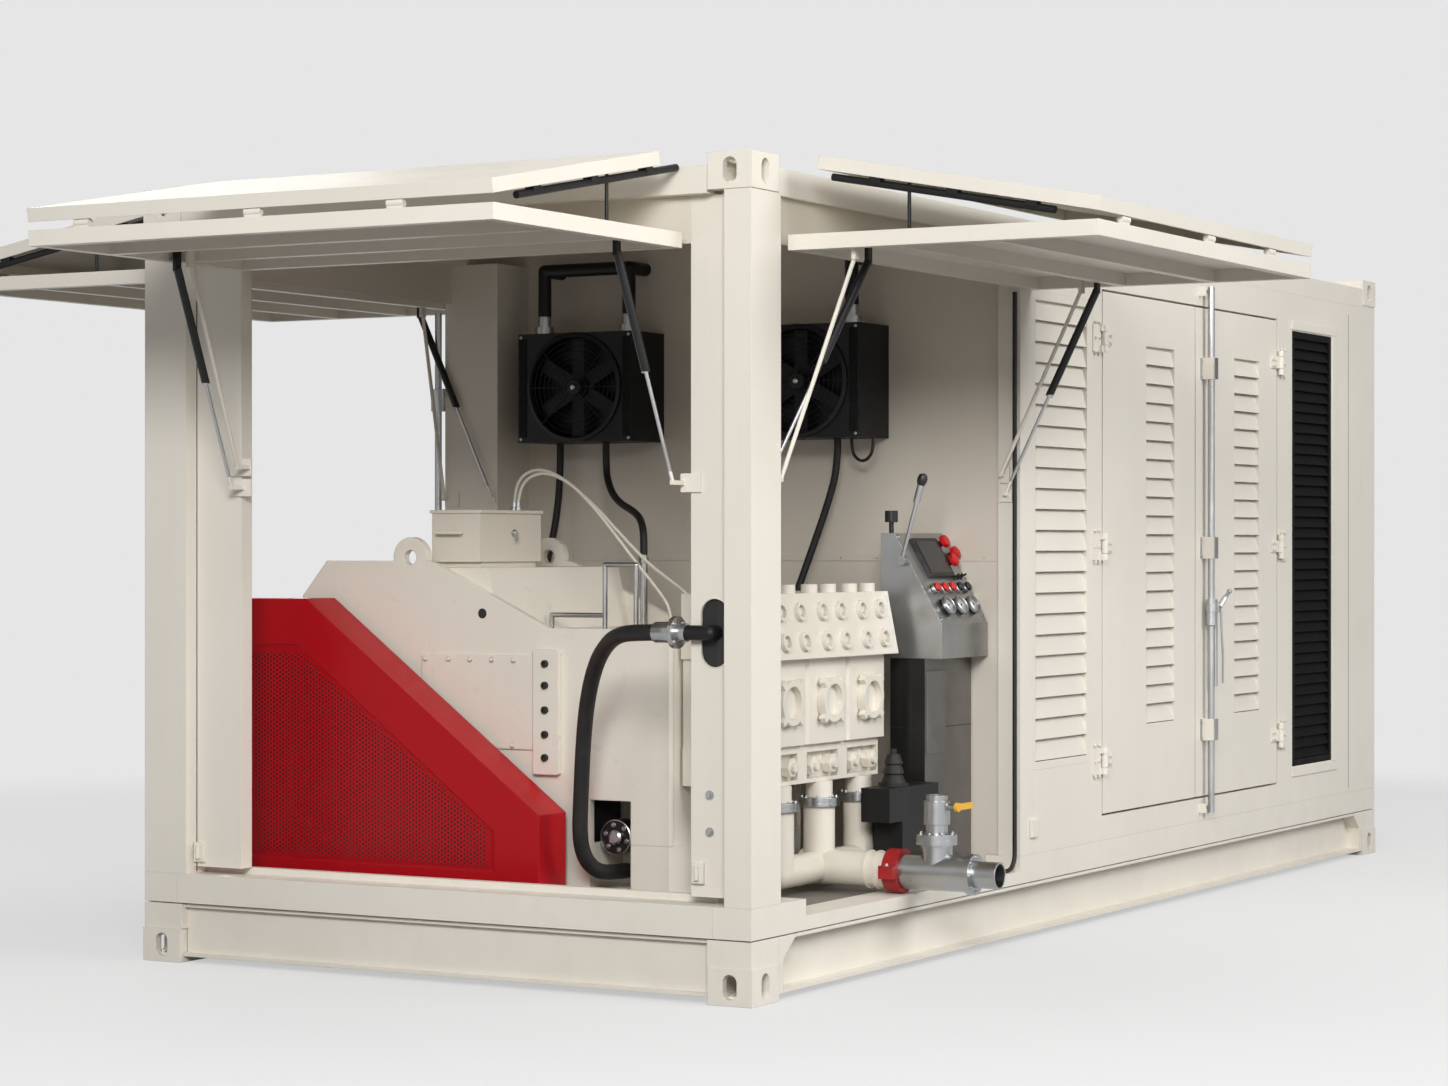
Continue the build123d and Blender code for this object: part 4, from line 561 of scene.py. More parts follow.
def bolts(name, places, axis, across, body="unit", material=None, slot="steel", kind=hex_bolt):
    """Many bolts of one size in one piece."""
    def make(work):
        for place in places:
            kind(work, place, axis, across)
    piece(name, make, material or zinc, body)


def turned(name, profile, matrix, material, body="unit", sides=24):
    """A smooth turned piece of its own."""
    piece(name, lambda work: lathe(work, profile, matrix, sides), material, body, smooth=True)


def bolt_circle(centre, axis, radius, count, start=0.0):
    """Places round a circle about an axis."""
    matrix = aim(centre, axis)
    turns = [2 * math.pi * (i + start) / count for i in range(count)]
    return [matrix @ Vector((radius * math.cos(turn), radius * math.sin(turn), 0)) for turn in turns]


def ring(work, centre, axis, radius, thick, sides=48, around=8):
    """A round wire ring."""
    matrix = aim(centre, axis)
    rows = []
    for i in range(sides):
        turn = 2 * math.pi * i / sides
        row = []
        for j in range(around):
            lean = 2 * math.pi * j / around
            out = radius + thick * math.cos(lean)
            point = Vector((out * math.cos(turn), out * math.sin(turn), thick * math.sin(lean)))
            row.append(work.verts.new(matrix @ point))
        rows.append(row)
    for i in range(sides):
        a, b = rows[i], rows[(i + 1) % sides]
        for j in range(around):
            k = (j + 1) % around
            work.faces.new((a[j], b[j], b[k], a[k]))


def rod(work, start, end, radius, sides=10):
    """A straight round rod between two points."""
    start, end = Vector(start), Vector(end)
    length = (end - start).length
    lathe(work, [(0, 0), (radius, 0), (radius, length), (0, length)], aim(start, end - start), sides)


def slab(work, low, high, soft=0.0):
    """A block between two corners, with rounded edges where soft is given."""
    low, high = Vector(low), Vector(high)
    made = bmesh.ops.create_cube(work, size=1)["verts"]
    for vert in made:
        vert.co = Vector([(low[i] + high[i]) / 2 + vert.co[i] * (high[i] - low[i]) for i in range(3)])
    if soft:
        edges = list(dict.fromkeys(edge for vert in made for edge in vert.link_edges))
        bmesh.ops.bevel(work, geom=edges, offset=soft, segments=2, affect="EDGES", profile=0.7)


# Hoses
def flexible(name, route, diameter, material, replaced):
    """A hose along its route, held at both ends by the unit."""
    curve = bpy.data.curves.new(name, "CURVE")
    curve.dimensions = "3D"
    spline = curve.splines.new("NURBS")
    spline.points.add(len(route) - 1)
    for point, place in zip(spline.points, route):
        point.co = (*place, 1)
    spline.order_u = 3
    spline.use_endpoint_u = True
    spline.resolution_u = 12
    curve.bevel_depth = diameter / 2
    curve.bevel_resolution = 5
    curve.materials.append(material)
    hose = stand(name, curve)
    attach(hose, "unit")
    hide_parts(replaced)


DISCHARGE_ROUTE = [
    at(-2330, -336, 330), at(-2420, -330, 330), at(-2505, -318, 342), at(-2565, -308, 392),
    at(-2592, -306, 470), at(-2608, -322, 600), at(-2640, -350, 767), at(-2700, -403, 930),
    at(-2785, -490, 1062), at(-2870, -590, 1136), at(-2941, -680, 1166), at(-2982, -766, 1174),
    at(-3000, -856, 1176),
]
COOLER_ROUTES = [
    [at(-1000, 785, 1858.7), at(-1000, 785, 1740), at(-1012, 790, 1600), at(-1045, 797, 1460),
     at(-1095, 803, 1340), at(-1165, 805, 1240), at(-1260, 805, 1180), at(-1360, 805, 1150),
     at(-1469.7, 805, 1150)],
    [at(-1075, 525, 1858.7), at(-1075, 525, 1790), at(-1090, 512, 1720), at(-1150, 450, 1655),
     at(-1250, 350, 1615), at(-1370, 230, 1590), at(-1475, 130, 1562), at(-1540, 76, 1522),
     at(-1560, 60, 1478), at(-1560, 60, 1420.3)],
    [at(-1075, -500, 1858.7), at(-1075, -500, 1750), at(-1082, -465, 1620), at(-1100, -420, 1480),
     at(-1130, -380, 1340), at(-1170, -350, 1210), at(-1220, -338, 1090), at(-1290, -335, 1000),
     at(-1375, -335, 950), at(-1469.7, -335, 950)],
]
LINE_ROUTES = [
    [at(-2000, 330, 1582.3), at(-2000, 330, 1640), at(-1992, 300, 1700), at(-1965, 240, 1724),
     at(-1930, 160, 1690), at(-1905, 70, 1600), at(-1888, -20, 1490), at(-1877, -110, 1380),
     at(-1870, -190, 1290), at(-1868, -240, 1222), at(-1868, -240, 1156.3)],
    [at(-1950, 380, 1582.3), at(-1950, 380, 1650), at(-1940, 350, 1716), at(-1912, 290, 1738),
     at(-1875, 210, 1700), at(-1842, 110, 1610), at(-1815, 0, 1490), at(-1795, -110, 1380),
     at(-1782, -230, 1300), at(-1775, -310, 1228), at(-1775, -310, 1156.3)],
    [at(-1075, -560, 1858.7), at(-1075, -560, 1812), at(-1075, -578, 1782), at(-1075, -605, 1770),
     at(-1075, -632, 1782), at(-1075, -650, 1812), at(-1075, -650, 1858.7)],
]


def make_hoses():
    """Discharge hose, cooler hoses and the thin cream lines."""
    flexible("discharge_hose_rubber", DISCHARGE_ROUTE, 0.054, hose_rubber, "discharge_hose")
    for i, route in enumerate(COOLER_ROUTES):
        flexible(f"cooler_hose_{i + 1}", route, 0.028, hose_rubber, "bay_hoses")
    for i, route in enumerate(LINE_ROUTES):
        colour = trim_rubber if i == 2 else cable_cream
        flexible(f"thin_line_{i + 1}", route, 0.012, colour, "bay_hoses")


# Belt guard
HOLE_PITCH = 0.0155
HOLE_SHARE = 0.60
GUARD_CORNERS = ((1.065, 1.100), (0.838, 1.103), (0.005, 0.474), (0.005, 0.337), (1.053, 0.344))
GUARD_MIDDLE = (0.62, 0.60)
PANEL_LIFT = 0.0012
# Lift and inset of the dark sheet of painted shade behind the guard's holes
SHADE_SHEET_LIFT = 0.0026
SHADE_SHEET_INSET = 2.2


def inside(y, z, corners, margin):
    """True where a point lies inside a convex outline, at least a margin from its sides."""
    for a, b in zip(corners, corners[1:] + corners[:1]):
        side = Vector((b[0] - a[0], b[1] - a[1]))
        off = (side.x * (z - a[1]) - side.y * (y - a[0])) / side.length
        if off < margin:
            return False
    return True


def perforated_panel(work):
    """The guard's perforated sheet: hexagon cells in columns, each with its hole."""
    low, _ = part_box("belt_guard")
    x = low.x + PANEL_LIFT
    corners = GUARD_CORNERS
    column_gap = HOLE_PITCH * math.sqrt(3) / 2
    outer = HOLE_PITCH / math.sqrt(3)
    hole = HOLE_PITCH * HOLE_SHARE / 2
    turns = [math.radians(60 * k) for k in range(6)]
    shared = {}

    def corner(y, z):
        key = (round(y / outer * 4), round(z / outer * 4))
        if key not in shared:
            shared[key] = work.verts.new((x, y, z))
        return shared[key]

    columns = int((corners[0][0] - corners[3][0]) / column_gap) + 2
    rows = int((corners[1][1] - corners[3][1]) / HOLE_PITCH) + 2
    for column in range(columns):
        y = corners[3][0] + column_gap * column
        for row in range(rows):
            z = corners[3][1] + HOLE_PITCH * (row + (column % 2) / 2)
            if not inside(y, z, corners, outer):
                continue
            rim = [corner(y + outer * math.cos(turn), z + outer * math.sin(turn)) for turn in turns]
            eye = [work.verts.new((x, y + hole * math.cos(turn), z + hole * math.sin(turn)))
                   for turn in turns]
            for k in range(6):
                j = (k + 1) % 6
                work.faces.new((rim[k], rim[j], eye[j], eye[k]))


def guard_shade_sheet(work):
    """A dark sheet of painted shade that shows through the holes, drawn in from the field's edge."""
    low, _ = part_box("belt_guard")
    x = low.x + SHADE_SHEET_LIFT
    middle = Vector(GUARD_MIDDLE)
    outline = [Vector(corner) for corner in GUARD_CORNERS]
    outline = [corner + (middle - corner).normalized() * SHADE_SHEET_INSET * HOLE_PITCH for corner in outline]
    work.faces.new([work.verts.new((x, corner.x, corner.y)) for corner in outline])


def make_guard():
    """Perforated sheet and the dark sheet of painted shade behind it."""
    piece("guard_perforation", perforated_panel, guard_red)
    piece("guard_shade_sheet", guard_shade_sheet, guard_shade_red)


# Pump, in millimetres from the container's middle
COVER_FACE_X = -2448
SIDE_BAR_FACE_X = -2465
DECK_EDGE_X = -2392
DECK_TOP_Z = 1156
NECKS_X = (-2200, -1900, -1600)
LINE_X = -1900
HUB_FACE = at(-2400.4, -335, 450)


def make_pump_bolts():
    """Bolts on the pump's covers, hub, flanges and couplings, and a disc of painted shade in the hole in its
    side plate.
    """
    cover = [at(COVER_FACE_X, y, 1055) for y in (55, 146, 237, 329, 428)]
    cover += [at(COVER_FACE_X, y, z) for y, z in ((428, 940), (150, 757), (240, 757), (60, 757))]
    bolts("cover_bolts", cover, OUTWARD, 0.013, material=pump_cream, slot="pump_cream")
    upright = [at(SIDE_BAR_FACE_X, -86.5, z) for z in (720, 800, 885, 970, 1045)]
    bolts("bar_bolts", upright, OUTWARD, 0.013, material=dark_hole, slot="black_metal", kind=socket_bolt)
    edge = [at(DECK_EDGE_X, y, DECK_TOP_Z) for y in range(-540, 100, 58)]
    bolts("deck_bolts", edge, UPWARD, 0.012, material=pump_cream, slot="pump_cream")
    # A near-black disc in the sight hole: painted shade
    eye = at(-2440, 192, 1216)
    bolts("sight_hole", [eye], OUTWARD, 0.016, material=dark_hole, slot="black_metal", kind=flat_disc)
    for i, x in enumerate(NECKS_X):
        places = bolt_circle(at(x, -860, 576), UPWARD, 0.060, 8, 0.5)
        bolts(f"suction_flange_bolts_{i + 1}", places, UPWARD, 0.009)
    bolts("branch_flange_bolts", bolt_circle(at(LINE_X, -1316, 466), UPWARD, 0.058, 8), UPWARD, 0.009)
    bolts("tee_flange_bolts", bolt_circle(at(LINE_X, -1464, 334), NEARWARD, 0.059, 8), NEARWARD, 0.008)
    bolts("union_bolts", bolt_circle(at(-3008.6, -942, 1176), NEARWARD, 0.041, 4, 0.5), NEARWARD, 0.009)
    bolts("shaft_hub_bolts", bolt_circle(HUB_FACE, OUTWARD, 0.044, 6, 0.25), OUTWARD, 0.010,
          material=dark_steel)

    def hub_cap(work):
        cap = [(0, 0), (0.026, 0), (0.026, 0.010), (0.018, 0.016), (0, 0.016)]
        lip = [(0.058, 0), (0.0615, 0), (0.0615, 0.004), (0.058, 0.006), (0.058, 0)]
        lathe(work, cap, aim(HUB_FACE, OUTWARD), 32)
        lathe(work, lip, aim(HUB_FACE, OUTWARD), 40)
    piece("shaft_hub_cap", hub_cap, dark_steel, smooth=True)
    bolts("coupling_bolts", [at(LINE_X + side * 87, -1167.5, 356) for side in (-1, 1)], UPWARD, 0.011)
    bolts("jamb_studs", [at(-2979, -1040, z) for z in (660, 542)], OUTWARD, 0.018)


def make_lube_details():
    """Handle, lock and hose ends of the oil box."""
    low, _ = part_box("lube_box")
    grip_x = low.x - 0.018

    def handle(work):
        for y in (0.370, 0.462):
            rod(work, (grip_x, y, 1.500), (low.x, y, 1.500), 0.0045)
        rod(work, (grip_x, 0.362, 1.500), (grip_x, 0.470, 1.500), 0.006)
    piece("oil_box_handle", handle, cream)

    def lock(work):
        centre = at(-2084, 296, 1500)
        lathe(work, [(0, 0), (0.013, 0), (0.013, 0.008), (0, 0.010)], aim(centre, NEARWARD), 20)
        slab(work, centre + Vector((-0.003, -0.020, -0.030)), centre + Vector((0.003, -0.008, 0.004)), 0.001)
    piece("oil_box_lock", lock, dark_steel)

    def ends(work):
        profile = [(0, 0), (0.012, 0), (0.012, 0.012), (0.0085, 0.014), (0.0085, 0.034), (0, 0.034)]
        for route in LINE_ROUTES[:2]:
            for place in (route[0], route[-1]):
                lathe(work, profile, aim(place - Vector((0, 0, 0.0003)), UPWARD), 12)
    piece("line_ends", ends, zinc, smooth=True)


# Coolers
FAN_RINGS = 9
FAN_SPOKES = 8
FAN_GUARD_R = 0.203
CORE_HALF_WIDTH = 0.2595
FINS = 11
FIN_PITCH = 0.0032
FIN_HALF = 0.0006


def make_coolers():
    """Fan guards, shrouds, fin blocks and corner screws on both coolers."""
    low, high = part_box("coolers")
    middle_z = (low.z + high.z) / 2
    for i, fan in enumerate(("fan_left", "fan_right")):
        fan_low, fan_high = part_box(fan)
        y = (fan_low.y + fan_high.y) / 2
        centre = Vector((low.x - 0.004, y, middle_z))
        ahead = centre + Vector((-0.003, 0, 0))

        def grille(work):
            for step in range(FAN_RINGS):
                ring(work, centre, (1, 0, 0), 0.035 + 0.0205 * step, 0.0016, 48, 6)
            for step in range(FAN_SPOKES):
                turn = math.pi * step / 4
                out = Vector((0, math.cos(turn), math.sin(turn)))
                rod(work, ahead + out * 0.03, ahead + out * FAN_GUARD_R, 0.0022, 6)
            lathe(work, [(0, 0), (0.032, 0), (0.030, 0.004), (0, 0.006)], aim(centre, OUTWARD), 32)
        piece(f"fan_guard_{i + 1}", grille, black, smooth=True)
        cap = [(0, 0.006), (0.011, 0.006), (0.011, 0.011), (0.006, 0.015), (0, 0.015)]
        turned(f"fan_cap_{i + 1}", cap, aim(centre, OUTWARD), zinc, sides=20)
        shroud = [(0.199, 0), (0.214, 0), (0.214, 0.008), (0.199, 0.012), (0.199, 0)]
        face = aim((low.x, y, middle_z), OUTWARD)
        turned(f"fan_shroud_{i + 1}", shroud, face, black, sides=64)

        def fins(work):
            for side in (-1, 1):
                for step in range(FINS):
                    spot = y + side * (0.222 + FIN_PITCH * step)
                    foot = (low.x - 0.004, spot - FIN_HALF, low.z + 0.02)
                    slab(work, foot, (low.x, spot + FIN_HALF, high.z - 0.02))
        piece(f"cooler_fins_{i + 1}", fins, black)
        reach = CORE_HALF_WIDTH - 0.012
        corners = [(low.x, y + a * reach, middle_z + b * 0.2) for a in (-1, 1) for b in (-1, 1)]
        bolts(f"cooler_screws_{i + 1}", corners, OUTWARD, 0.007)


# Console, with places on its sloped panel as lengths along and down it
PANEL_TOP_Y = -0.876
PANEL_FOOT_Z = 1.170
STOP_BUTTONS = ((0.322, 0.048), (0.362, 0.096), (0.318, 0.128))
BUTTON_ROW = (0.080, 0.145, 0.210, 0.275, 0.340)
GAUGE_ROW = (0.100, 0.205, 0.310)
TOGGLE_ROW = (0.296, 0.326, 0.354)
BUTTONS_DOWN = 0.236
GAUGES_DOWN = 0.312
TOGGLES_DOWN = 0.190
LEVER_TIP = at(-1369, -996, 1680)
PEDESTAL_SEAM_Z = 0.790


def panel_matrix(u, v, out=0.0):
    """A place on the sloped panel: u from its left edge, v down the slope, out from its face."""
    low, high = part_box("console_head")
    down = Vector((0, low.y - PANEL_TOP_Y, PANEL_FOOT_Z - high.z)).normalized()
    normal = Vector((1, 0, 0)).cross(down) * -1
    if normal.y > 0:
        normal = -normal
    place = Vector((low.x + u, PANEL_TOP_Y, high.z)) + down * v + normal * out
    turn = Matrix((Vector((1, 0, 0)), -down, normal)).transposed().to_4x4()
    return Matrix.Translation(place) @ turn


def make_gauge(index, u, v):
    """A pressure gauge: bezel, dial with ticks, and its needle."""
    matrix = panel_matrix(u, v, 0.012)
    bezel = [(0.028, 0), (0.0365, 0), (0.0365, 0.010), (0.032, 0.014), (0.028, 0.012), (0.028, 0)]
    turned(f"gauge_bezel_{index}", bezel, matrix, zinc, sides=40)
    turned(f"gauge_dial_{index}", [(0, 0.003), (0.029, 0.003)], matrix, white_face, sides=40)

    def hand(work, degrees, start, end, lift, thick):
        """A thin mark along one direction of the dial."""
        out = Vector((math.cos(math.radians(degrees)), math.sin(math.radians(degrees)), 0))
        rise = Vector((0, 0, lift))
        rod(work, matrix @ (out * start + rise), matrix @ (out * end + rise), thick, 4)

    def marks(work):
        for step in range(11):
            long = 0.007 if step % 5 == 0 else 0.004
            hand(work, 225 - 27 * step, 0.026 - long, 0.026, 0.0036, 0.0006)
        hand(work, 200, -0.006, 0.022, 0.005, 0.0009)
        lathe(work, [(0, 0.004), (0.003, 0.004), (0.003, 0.007), (0, 0.007)], matrix, 12)
    piece(f"gauge_marks_{index}", marks, black_plastic)


def make_console():
    """Display, stop buttons, button row, gauges, toggles, lever knob, panel screws and seams."""
    screen = panel_matrix(0.183, 0.110, 0.016)

    def glass(work):
        lip = [(-0.088, -0.068), (0.088, -0.068), (0.088, 0.068), (-0.088, 0.068)]
        low = [work.verts.new(screen @ Vector((x, y, 0.0))) for x, y in lip]
        high = [work.verts.new(screen @ Vector((x * 0.98, y * 0.97, 0.002))) for x, y in lip]
        work.faces.new(high)
        for k in range(4):
            work.faces.new((low[k], low[(k + 1) % 4], high[(k + 1) % 4], high[k]))
    piece("display_glass", glass, screen_glass)
    head = [(0, -0.001), (0.0235, -0.001), (0.0245, 0.008), (0.023, 0.016), (0.016, 0.0195), (0, 0.0205)]
    for i, (u, v) in enumerate(STOP_BUTTONS):
        turned(f"stop_button_{i + 1}", head, panel_matrix(u, v, 0.018), red_plastic, sides=28)
    collar = [(0.0172, 0), (0.020, 0), (0.020, 0.010), (0.0172, 0.012), (0.0172, 0)]
    cap = [(0, 0.0155), (0.0175, 0.0155), (0.0175, 0.020), (0.015, 0.0225), (0, 0.023)]
    for i, u in enumerate(BUTTON_ROW):
        matrix = panel_matrix(u, BUTTONS_DOWN, 0.002)
        turned(f"button_collar_{i + 1}", collar, matrix, zinc)
        colour = red_plastic if i < 3 else black_plastic
        turned(f"button_cap_{i + 1}", cap, matrix, colour)
    for i, u in enumerate(GAUGE_ROW):
        make_gauge(i + 1, u, GAUGES_DOWN)
    corners = [panel_matrix(u, v).translation for u in (0.016, 0.372) for v in (0.016, 0.362)]
    normal = panel_matrix(0, 0).to_3x3() @ Vector((0, 0, 1))
    bolts("panel_screws", corners, normal, 0.007, kind=socket_bolt)
    knob = [(0, -0.012), (0.012, -0.010), (0.018, 0.004), (0.019, 0.018), (0.014, 0.032), (0, 0.037)]
    lean = Vector((0, -0.020, 0.070))
    turned("lever_knob", knob, aim(LEVER_TIP, lean), black_plastic, "console_lever", 20)

    def seams(work):
        low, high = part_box("console_pedestal")
        z = PEDESTAL_SEAM_Z
        slab(work, (low.x, low.y - 0.0012, z), (high.x, low.y, z + 0.003))
        slab(work, (low.x - 0.0012, low.y, z), (low.x, high.y, z + 0.003))
    piece("pedestal_seams", seams, black_plastic)
    stem = [(0, 0), (0.009, 0), (0.009, 0.004), (0.003, 0.006), (0.0035, 0.020), (0.005, 0.026), (0, 0.030)]
    for i, u in enumerate(TOGGLE_ROW):
        matrix = panel_matrix(u, TOGGLES_DOWN)
        turned(f"toggle_{i + 1}", stem, matrix, black_plastic, sides=16)


# Doors, in millimetres from the container's middle
HINGES_Z = (621, 1450, 2257)
GUIDES_Z = (690, 1445, 2190)
LEAF_FACE_Y = -1225
GUIDE_FRONT_Y = -1276.4
GUIDE_FOOT_Y = -1222.4
LOCK_BAR_AT = (830, -1253)
STRAP = ((862, -1284, 1180), (866, -1286, 1090), (880, -1286, 1000), (884, -1284, 880))


def make_doors():
    """Hinge screws, the lock bar's saddles and bolts, and its lever with collars and strap."""
    for side, hinge_x, body in ((1, -246, "door_left"), (-1, 1716, "door_right")):
        moving = [at(hinge_x + side * dx, LEAF_FACE_Y, z + dz)
                  for z in HINGES_Z for dx in (50, 76) for dz in (-14, 14)]
        fixed = [at(hinge_x - side * dx, LEAF_FACE_Y, z + dz)
                 for z in HINGES_Z for dx in (34, 72) for dz in (-60, 0, 60)]
        look = {"material": cream, "slot": "cream_paint", "kind": socket_bolt}
        bolts(f"{body}_hinge_screws", moving, NEARWARD, 0.007, body=body, **look)
        bolts(f"{body}_frame_screws", fixed, NEARWARD, 0.007, **look)

    def saddles(work):
        for z in GUIDES_Z:
            low, high = z - 44, z + 44
            slab(work, at(809, GUIDE_FRONT_Y, low), at(851, -1273.2, high), 0.001)
            for x in (809, 847.8):
                slab(work, at(x, -1273, low), at(x + 3.2, -1222.5, high))
            for x in (794, 851.2):
                slab(work, at(x, GUIDE_FOOT_Y, low), at(x + 14.8, -1219.4, high), 0.001)
    piece("guide_saddles", saddles, zinc, "door_right")
    ears = [at(x, GUIDE_FOOT_Y, z + dz) for x in (801, 859) for z in GUIDES_Z for dz in (-32, 32)]
    bolts("guide_bolts", ears, NEARWARD, 0.006, body="door_right")

    def lever(work):
        for z, reach in ((1176, 0.0245), (1120, 0.0225)):
            collar = [(0.017, 0), (reach, 0.003), (reach, 0.033), (0.017, 0.036), (0.017, 0)]
            lathe(work, collar, aim(at(*LOCK_BAR_AT, z), UPWARD), 24)
        slab(work, at(838, -1284, 1176), at(866, -1262, 1212), 0.003)
        rod(work, at(856, -1280, 1200), at(888, -1292, 1238), 0.011)
        rod(work, at(888, -1292, 1238), at(938, -1292, 1262), 0.008)
        for start, end in zip(STRAP, STRAP[1:]):
            rod(work, at(*start), at(*end), 0.0045)
        tip = [(0, -0.009), (0.009, -0.007), (0.011, 0), (0.009, 0.007), (0, 0.009)]
        lathe(work, tip, aim(at(938, -1292, 1262), (1, 0, 0)), 14)
    piece("lock_lever", lever, zinc, "lock_bar")


# Frame, in millimetres from the container's middle
WALL_Y = -1219
JAMB_X = -2979
SEAM_Z = (1396, 1424)
PORT_AT = (-2979, -1058, 1176)
PORT_STRAIGHT = 59
PORT_SIDES = 48


def make_bay_details():
    """Lips round the radiator grille, dark joint lines, catches, the hose port and the bulkhead's seam."""

    def grille_lips(work):
        y0, y1 = WALL_Y - 6, WALL_Y - 0.2
        slab(work, at(1888, y0, 2414), at(2482, y1, 2452), 0.002)
        slab(work, at(1888, y0, 426), at(2482, y1, 468), 0.002)
        slab(work, at(2424, y0, 468.5), at(2482, y1, 2413.5), 0.002)
    piece("grille_lips", grille_lips, cream)

    def gaps(work):
        slab(work, at(2655, WALL_Y - 0.7, 330), at(2658, WALL_Y - 0.1, 2528))
        slab(work, at(JAMB_X - 0.8, 1026, 320), at(JAMB_X - 0.2, 1030, 2330))
    piece("seam_lines", gaps, dark_hole)

    def catches(work):
        for y, z in ((1010, 385), (-1000, 410)):
            slab(work, at(JAMB_X - 14, y - 22, z - 34), at(JAMB_X, y + 22, z + 34), 0.004)
            rod(work, at(JAMB_X - 19, y, z - 22), at(JAMB_X - 19, y, z + 22), 0.008)
        slab(work, at(-917, WALL_Y - 12, 372), at(-860, WALL_Y, 440), 0.004)
    piece("bay_catches", catches, cream)
    piece("port_shade", lambda work: slab(work, at(-2969, -1112, 1062), at(-2966, -1004, 1290)),
          dark_hole)

    def port_rim(work):
        rows = []
        for step in range(PORT_SIDES):
            turn = 2 * math.pi * step / PORT_SIDES
            lift = PORT_STRAIGHT if math.sin(turn) >= 0 else -PORT_STRAIGHT
            out = Vector((0, math.cos(turn), math.sin(turn)))
            middle = at(PORT_AT[0], PORT_AT[1], PORT_AT[2] + lift)
            corners = [out * reach + Vector((-proud, 0, 0)) for reach, proud in
                       ((0.050, 0), (0.050, 0.002), (0.053, 0.002), (0.053, 0))]
            rows.append([work.verts.new(middle + corner) for corner in corners])
        for first, second in zip(rows, rows[1:] + rows[:1]):
            for j in range(3):
                work.faces.new((first[j], second[j], second[j + 1], first[j + 1]))
    piece("port_rim", port_rim, cream, smooth=True)
    low, high = SEAM_Z
    rivets = [at(-950, y, (low + high) / 2) for y in range(-1050, 1100, 150)]
    bolts("bulkhead_rivets", rivets, OUTWARD, 0.006, material=bay_cream, slot="inner_cream", kind=socket_bolt)
    piece("bulkhead_seam", lambda work: slab(work, at(-952.5, -1120, low), at(-950, 1120, high), 0.0008),
          bay_cream)


# Floor, light and camera
BACKGROUND = 0.79
LIGHT_LEVEL = 0.34
BRIGHT_SIDE = (-0.6, -0.6, 0.5)
MIRROR_SPREAD = (-0.3, 0.9)
DIM_MIRROR = grey(0.10)
BRIGHT_MIRROR = grey(1.3)
FLOOR_SEEN = 0.76
FLOOR_BOUNCE = 0.22
FLOOR_GLOW = 0.66
FLOOR_FADE = (4.0, 9.0)
FLOOR_HALF = 60


def make_stage():
    """A pale floor that fades into the backdrop with no horizon. The rest of the light sees it darker."""
    material, tree, shader = start_material("stage_floor", shine=0.1)
    shader.inputs["Roughness"].default_value = 0.8
    path = tree.nodes.new("ShaderNodeLightPath")
    seen = maths(tree, "MAXIMUM", path.outputs["Is Camera Ray"], path.outputs["Is Glossy Ray"])
    colour = blend_colour(tree, seen, grey(FLOOR_BOUNCE), grey(FLOOR_SEEN))
    tree.links.new(colour, shader.inputs["Base Color"])
    place = add(tree, "ShaderNodeNewGeometry").outputs["Position"]
    away = add(tree, "ShaderNodeVectorMath", operation="LENGTH")
    tree.links.new(place, away.inputs[0])
    far_off = ramp(tree, away.outputs["Value"], *FLOOR_FADE)
    fade = maths(tree, "MULTIPLY", maths(tree, "MAXIMUM", far_off, FLOOR_GLOW), seen)
    glow = add(tree, "ShaderNodeEmission", Color=(*grey(BACKGROUND), 1), Strength=1.0)
    mixed = tree.nodes.new("ShaderNodeMixShader")
    tree.links.new(fade, mixed.inputs[0])
    tree.links.new(shader.outputs[0], mixed.inputs[1])
    tree.links.new(glow.outputs[0], mixed.inputs[2])
    tree.links.new(mixed.outputs[0], tree.nodes["Material Output"].inputs["Surface"])
    mesh = bpy.data.meshes.new("floor")
    half = FLOOR_HALF
    corners = [(-half, -half, 0), (half, -half, 0), (half, half, 0), (-half, half, 0)]
    mesh.from_pydata(corners, [], [(0, 1, 2, 3)])
    mesh.materials.append(material)
    floor = stand("floor", mesh)
    floor.location.z = -0.0005


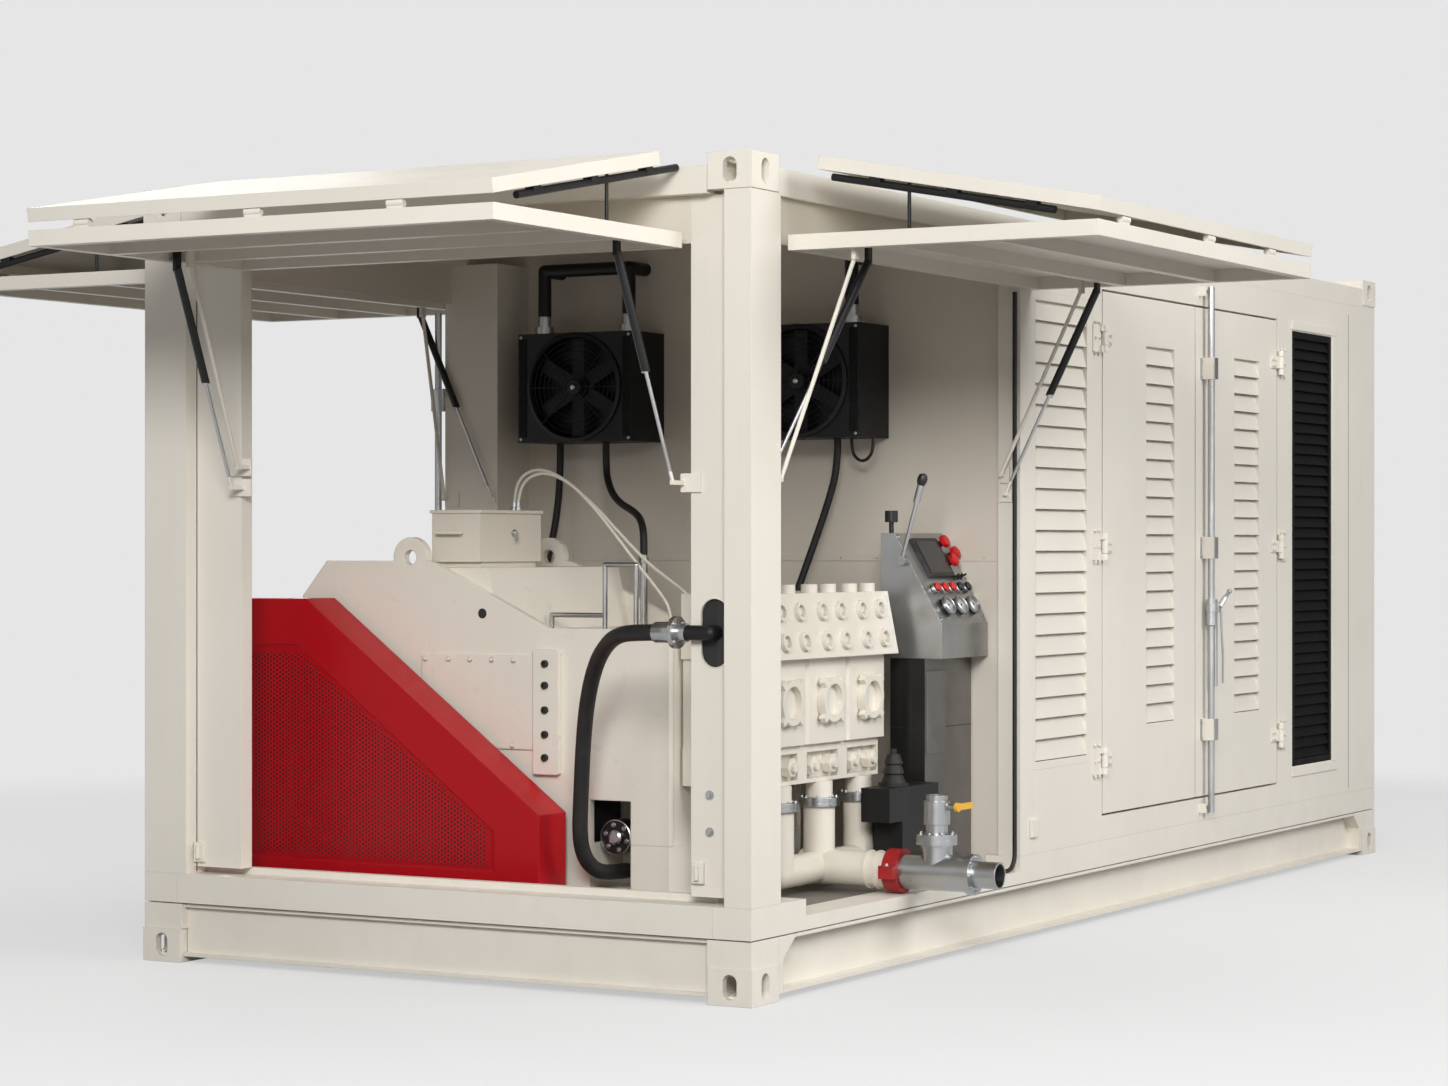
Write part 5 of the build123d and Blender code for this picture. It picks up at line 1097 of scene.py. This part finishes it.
def make_world():
    """Soft grey surround: one level for the light, one for what the camera sees, and what metal mirrors."""
    world = bpy.data.worlds.new("studio")
    bpy.context.scene.world = world
    world.use_nodes = True
    tree = world.node_tree
    background = tree.nodes["Background"]
    background.inputs["Color"].default_value = (1, 1, 1, 1)
    path = tree.nodes.new("ShaderNodeLightPath")
    way = add(tree, "ShaderNodeTexCoord").outputs["Generated"]
    toward = add(tree, "ShaderNodeVectorMath", operation="DOT_PRODUCT")
    tree.links.new(way, toward.inputs[0])
    toward.inputs[1].default_value = Vector(BRIGHT_SIDE).normalized()
    shine = ramp(tree, toward.outputs["Value"], *MIRROR_SPREAD)
    mirrored = blend_colour(tree, shine, DIM_MIRROR, BRIGHT_MIRROR)
    level = blend_colour(tree, path.outputs["Is Glossy Ray"], grey(LIGHT_LEVEL), mirrored)
    colour = blend_colour(tree, path.outputs["Is Camera Ray"], level, grey(BACKGROUND))
    tree.links.new(colour, background.inputs["Color"])


def lamp(name, place, target, size, power):
    """A large soft lamp."""
    light = bpy.data.lights.new(name, "AREA")
    light.shape = "RECTANGLE"
    light.size, light.size_y = size
    light.energy = power
    made = stand(name, light)
    made.location = place
    made.rotation_euler = (Vector(target) - Vector(place)).to_track_quat("-Z", "Y").to_euler()


def make_camera():
    """The camera at the photograph's view."""
    data = bpy.data.cameras.new("camera")
    data.lens = CAMERA_LENS
    data.sensor_width = CAMERA_SENSOR
    data.shift_y = CAMERA_SHIFT_Y
    data.clip_end = 200
    camera = stand("camera", data)
    camera.location = CAMERA_PLACE
    camera.rotation_euler = (math.radians(90), 0, math.radians(CAMERA_TURN))
    bpy.context.scene.camera = camera


make_camera()
make_hoses()
make_guard()
make_pump_bolts()
make_lube_details()
make_coolers()
make_console()
make_doors()
make_bay_details()
make_stage()
make_world()
lamp("key", (-1, -12, 7), (-0.5, 0, 1.2), (7, 5), 980)
lamp("fill", (-11, -5.5, 5.2), (-2, 0, 1.2), (4, 2.6), 900)
lamp("top", (0, 0, 9), (0, 0, 0), (8, 6), 270)
lamp("back", (8, 11, 5), (1, 0, 1.2), (5, 4), 320)

scene = bpy.context.scene
scene.view_settings.view_transform = "Standard"
